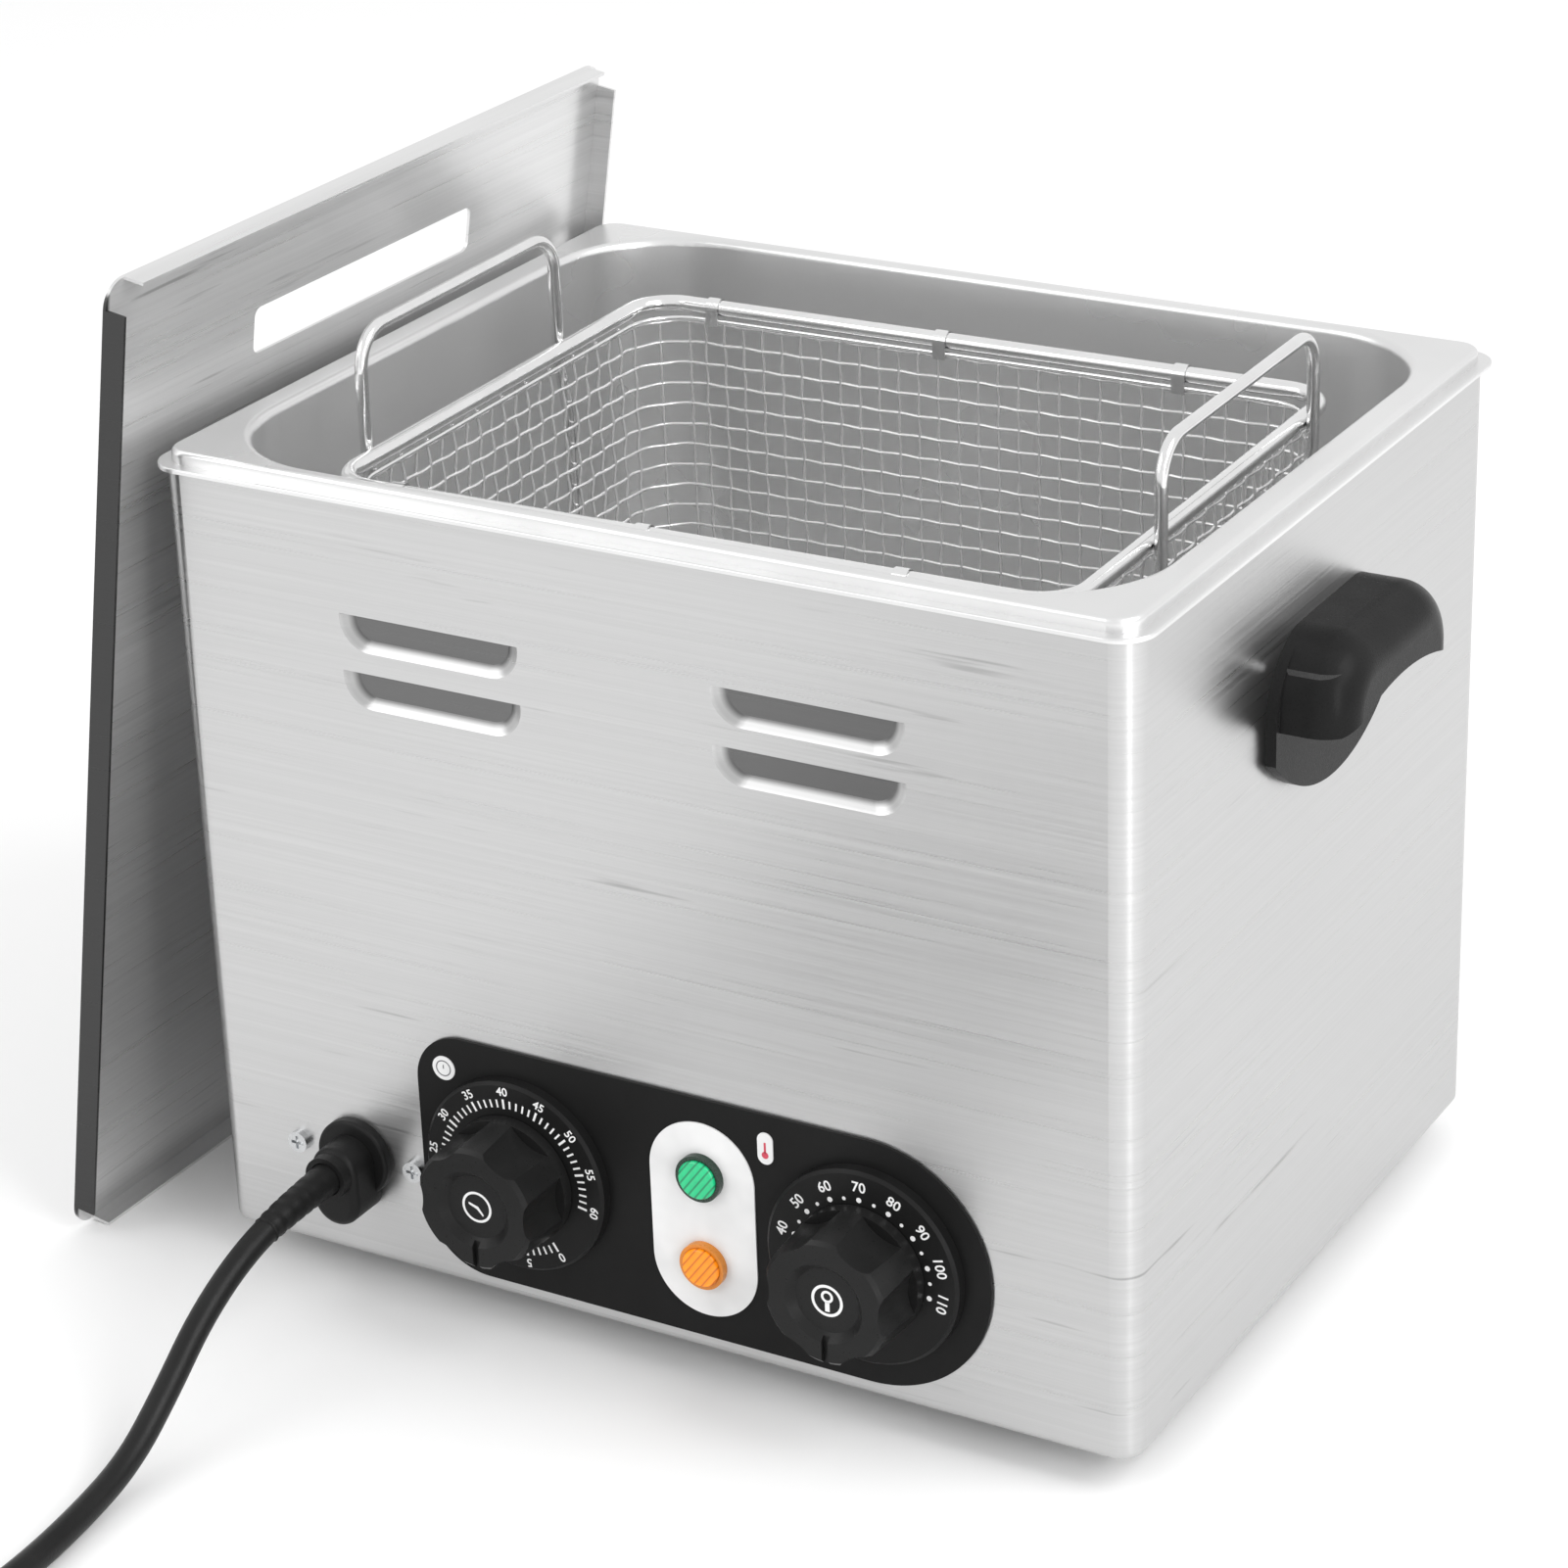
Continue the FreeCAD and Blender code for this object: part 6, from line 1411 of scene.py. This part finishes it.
    def lens(self, name: str, node: str, level: float, slot: Slot, finish: Finish) -> None:
        """Build one ribbed lamp lens.

        Args:
            name: Name of the piece.
            node: CAD lens that it stands for.
            level: Height of its middle.
            slot: The record's material slot; not used.
            finish: Its tint.
        """
        bm = bmesh.new()
        (middle,), *rings = [self.lens_ring(bm, number, level)
                             for number in range(self.lens_rings + 1)]
        rings.append([bm.verts.new((v.co.x, self.lens_back, v.co.z)) for v in rings[-1]])
        for one, two in zip(rings[0], rings[0][1:] + rings[0][:1]):
            bm.faces.new((middle, one, two))
        for one, two in zip(rings, rings[1:]):
            close_band(bm, one, two)
        bm.faces.new(rings[-1])
        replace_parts(add_piece(name, bm, Body.HOUSING, finish), node)

    def build(self) -> None:
        """Build the printed marks and the lenses."""
        self.timer_scale()
        self.thermostat_scale()
        self.timer_mark()
        self.thermostat_mark()
        self.badge_marks()
        rise = self.lamp_pitch / 2
        self.lens("power_lamp_ribbed_lens", "power_lamp_lens", self.level + rise, Slot.GREEN,
                  LENS_GREEN)
        self.lens("heat_lamp_ribbed_lens", "heat_lamp_lens", self.level - rise, Slot.ORANGE,
                  LENS_ORANGE)

    def dress(self) -> None:
        """Give the plates, dials, knobs and lamps their mouldings."""
        dress(PLATE_BLACK, "control_panel")
        dress(LABEL_WHITE, "label_plate", "panel_badges")
        dress(DIAL_BLACK, "timer_dial", "thermostat_dial")
        dress(KNOB_BLACK, "timer_knob", "thermostat_knob")
        dress(BEZEL_DARK, "power_lamp_body")
        dress(BEZEL_ORANGE, "heat_lamp_body")
        dress(LENS_GREEN, "power_lamp_lens")
        dress(LENS_ORANGE, "heat_lamp_lens")
        dress(SCREW_ZINC, "timer_shaft", "thermostat_shaft", "timer_screws", "thermostat_screws",
              "lamp_nuts")
        dress(CASE_PLASTIC, "timer_body", "thermostat_body")


@dataclass
class Heater:
    """The element, its spreader and the sensing parts under the tank."""

    def dress(self) -> None:
        """Give each part its metal."""
        dress(ALUMINIUM, "heat_spreader")
        dress(SHEATH, "heating_element")
        dress(SCREW_ZINC, "element_clamps", "clamp_studs", "clamp_nuts", "bulb_clips")
        dress(CASE_PLASTIC, "thermal_cutout")
        dress(COPPER, "thermostat_bulb", "capillary_tube")


@dataclass
class Wiring:
    """Terminals, earth stud and leads inside the shell."""

    def dress(self) -> None:
        """Give the wiring its plastics and brass."""
        dress(CASE_PLASTIC, "terminal_block")
        dress(BRASS, "terminal_screws", "earth_stud")
        dress(LEAD_BLUE, "internal_leads")


@dataclass
class MainsLead:
    """The inlet boot, the strain relief, the lead with its stored coil, and the plug."""

    exit: Point = (-107.5 * MM, -141.5 * MM, 48.5 * MM)
    diameter: float = 8.4 * MM
    length: float = 1.59
    coil_x: float = -52.0 * MM
    coil_y: float = -405.0 * MM
    outer_turn: float = 56.4 * MM
    inner_turn: float = 39.6 * MM
    low_level: float = 5.2 * MM
    high_level: float = 13.6 * MM
    point_step: int = 15
    turns_in: int = 720
    turns_out: int = 810
    step_up: int = 90
    relief_from: float = 1.5 * MM
    relief_long: float = 31.0 * MM
    relief_radius: float = 5.35 * MM
    relief_taper: float = 0.85 * MM
    relief_sides: int = 28
    groove_pitch: float = 4.4 * MM
    groove_deep: float = 0.28 * MM
    groove_edge: float = -0.35
    collar_share: float = 0.15
    resolution: int = 6
    line_resolution: int = 24

    def route(self) -> list[Point]:
        """Lead the cord from the inlet over the floor to the coil.

        Returns:
            Its control points.
        """
        return [
            self.exit,
            (-0.1075, -0.160, 0.0485), (-0.1100, -0.182, 0.0433), (-0.1106, -0.206, 0.0325),
            (-0.1085, -0.229, 0.0185), (-0.1065, -0.251, 0.0076), (-0.1045, -0.277, 0.0046),
            (-0.1025, -0.307, 0.0044), (-0.1040, -0.338, 0.0048), (-0.1074, -0.368, 0.0051),
            (-0.1084, -0.396, 0.0052),
        ]

    def turns(self) -> list[Point]:
        """Wind the stored turns: a layer that goes in and one on it that comes out.

        Returns:
            Their control points.
        """
        swell = 1.0 / math.cos(math.radians(self.point_step / 2))
        points = []
        for degrees in range(self.point_step, self.turns_in + self.turns_out, self.point_step):
            past = degrees - self.turns_in
            if past <= 0:
                radius = self.outer_turn - self.diameter * degrees / 360
                rise = max(0.0, past + self.step_up) / self.step_up
                level = self.low_level + (self.high_level - self.low_level) * rise
            else:
                radius = self.inner_turn + self.diameter * past / 360
                level = self.high_level
            angle = math.radians(180 + degrees)
            points.append((self.coil_x + radius * swell * math.cos(angle),
                           self.coil_y + radius * swell * math.sin(angle), level))
        return points

    def lead_out(self) -> list[Point]:
        """Control points from the last turn into the plug's neck."""
        return [(-0.0495, -0.4633, 0.0136), (-0.0400, -0.4622, 0.0136), (-0.0304, -0.4614, 0.0136)]

    def build(self) -> None:
        """Lay the lead and put its strain relief on."""
        points = self.route() + self.turns() + self.lead_out()
        curve = smooth_curve("mains_lead", points, self.resolution)
        curve.bevel_depth = self.diameter / 2
        curve.bevel_resolution = 5
        curve.use_fill_caps = True
        curve.materials.append(CORD_RUBBER.material())
        lead = place_object("mains_lead", curve)
        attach(lead, Body.HOUSING.value)
        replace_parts(lead, "power_cord", "cord_coil")
        relief = self.strain_relief(self.centreline(points))
        LOG.info("mains_lead: %d control points", len(points))

    def centreline(self, points: list[Point]) -> list[Vector]:
        """Finely spaced points of the lead's own curve.

        Args:
            points: The lead's control points.

        Returns:
            Points along the curve.
        """
        mesh = curve_mesh(smooth_curve("lead_line", points, self.line_resolution))
        line = [vertex.co.copy() for vertex in mesh.vertices]
        bpy.data.meshes.remove(mesh)
        return line

    def strain_relief(self, line: list[Vector]) -> bpy.types.Object:
        """Build the ribbed, tapered sleeve over the lead's first stretch.

        Args:
            line: Points along the lead.

        Returns:
            The sleeve.
        """
        points, radii = [], []
        gone = 0.0
        for one, two in zip(line, line[1:]):
            past = gone - self.relief_from
            if 0.0 <= past <= self.relief_long:
                share = past / self.relief_long
                radius = self.relief_radius - self.relief_taper * share
                wave = math.sin(2 * math.pi * past / self.groove_pitch)
                grooved = share > self.collar_share and wave < self.groove_edge
                points.append(one)
                radii.append(radius - (self.groove_deep if grooved else 0.0))
            gone += (two - one).length
        tubes = Tubes(sides=self.relief_sides)
        tubes.run(points, radii, Vector((1.0, 0.0, 0.0)))
        return add_piece("lead_strain_relief", tubes.bm, Body.HOUSING, BOOT_RUBBER)

    def dress(self) -> None:
        """Give the boot, tie, plug and fixings their finishes."""
        dress(BOOT_RUBBER, "cord_boot", "cord_tie")
        dress(SCREW_ZINC, "inlet_clamp", "inlet_screws", "inlet_nuts")
        dress(CORD_RUBBER, "power_cord", "cord_coil")
        dress(PLUG_RUBBER, "plug_body")
        dress(BRASS, "plug_pins")


# ---- studio -------------------------------------------------------------------------------------

@dataclass
class Studio:
    """Pale floor, soft lights and the camera."""

    place: Point = (0.626375, -1.097045, 0.716263)
    azimuth: float = 0.5343554
    elevation: float = 0.4241293
    roll: float = -0.0357230
    focal: float = 101.03
    sensor: float = 36.0
    near: float = 0.01
    far: float = 50.0
    surroundings: float = 0.95
    target: Point = (0.0, 0.0, 0.15)
    floor_half: float = 9.0

    def camera(self) -> None:
        """Set up the camera."""
        data = bpy.data.cameras.new("camera")
        data.lens = self.focal
        data.sensor_width = self.sensor
        data.clip_start = self.near
        data.clip_end = self.far
        level = math.cos(self.elevation)
        back = Vector((math.sin(self.azimuth) * level, -math.cos(self.azimuth) * level,
                       math.sin(self.elevation)))
        right = UP.cross(back).normalized()
        above = back.cross(right)
        turned = right * math.cos(self.roll) + above * math.sin(self.roll)
        raised = above * math.cos(self.roll) - right * math.sin(self.roll)
        facing = Matrix((turned, raised, back)).transposed().to_4x4()
        camera = place_object("camera", data)
        camera.matrix_world = Matrix.Translation(self.place) @ facing
        bpy.context.scene.camera = camera

    def light(self, name: str, place: Point, size: tuple[float, float], power: float) -> None:
        """Add a soft rectangular light that points at the appliance.

        Args:
            name: Name of the light.
            place: Where it stands.
            size: Its width and height.
            power: Its power in watts.
        """
        data = bpy.data.lights.new(name, "AREA")
        data.shape = "RECTANGLE"
        data.size, data.size_y = size
        data.energy = power
        light = place_object(name, data)
        light.location = place
        aim = Vector(self.target) - Vector(place)
        light.rotation_euler = aim.to_track_quat("-Z", "Y").to_euler()

    def lights(self) -> None:
        """Set up the lights and the even surroundings."""
        world = bpy.data.worlds.new("studio")
        world.use_nodes = True
        sky = world.node_tree.nodes["Background"]
        sky.inputs["Color"].default_value = grey(1.0)
        sky.inputs["Strength"].default_value = self.surroundings
        bpy.context.scene.world = world
        self.light("key", (1.8, -0.1, 1.9), (1.4, 1.4), 26.0)
        self.light("bend", (1.50, -0.90, 0.62), (0.35, 1.2), 9.0)
        self.light("fill", (-1.6, -1.6, 1.5), (1.8, 1.4), 14.0)

    def floor(self) -> None:
        """Lay the pale floor."""
        mesh = bpy.data.meshes.new("studio_floor")
        bm = bmesh.new()
        bmesh.ops.create_grid(bm, x_segments=8, y_segments=8, size=self.floor_half)
        bm.to_mesh(mesh)
        bm.free()
        mesh.materials.append(FLOOR_PAPER.material())
        place_object("studio_floor", mesh)

    def build(self) -> None:
        """Build the studio."""
        self.camera()
        self.lights()
        self.floor()
        bpy.context.scene.view_settings.view_transform = "Standard"


def main() -> None:
    """Build the studio, then every sub-assembly in order."""
    logging.basicConfig(level=logging.INFO, format="%(name)s: %(message)s")
    Studio().build()
    lead = MainsLead()
    panel = ControlPanel()
    basket = Basket()
    for assembly in (lead, basket, panel):
        assembly.build()
    plain = (Casing(), Tank(), Lid(), SideHandle(), Heater(), Wiring())
    for assembly in (lead, basket, panel, *plain):
        assembly.dress()
        LOG.info("%s dressed", type(assembly).__name__)


if __name__ == "__main__":
    main()
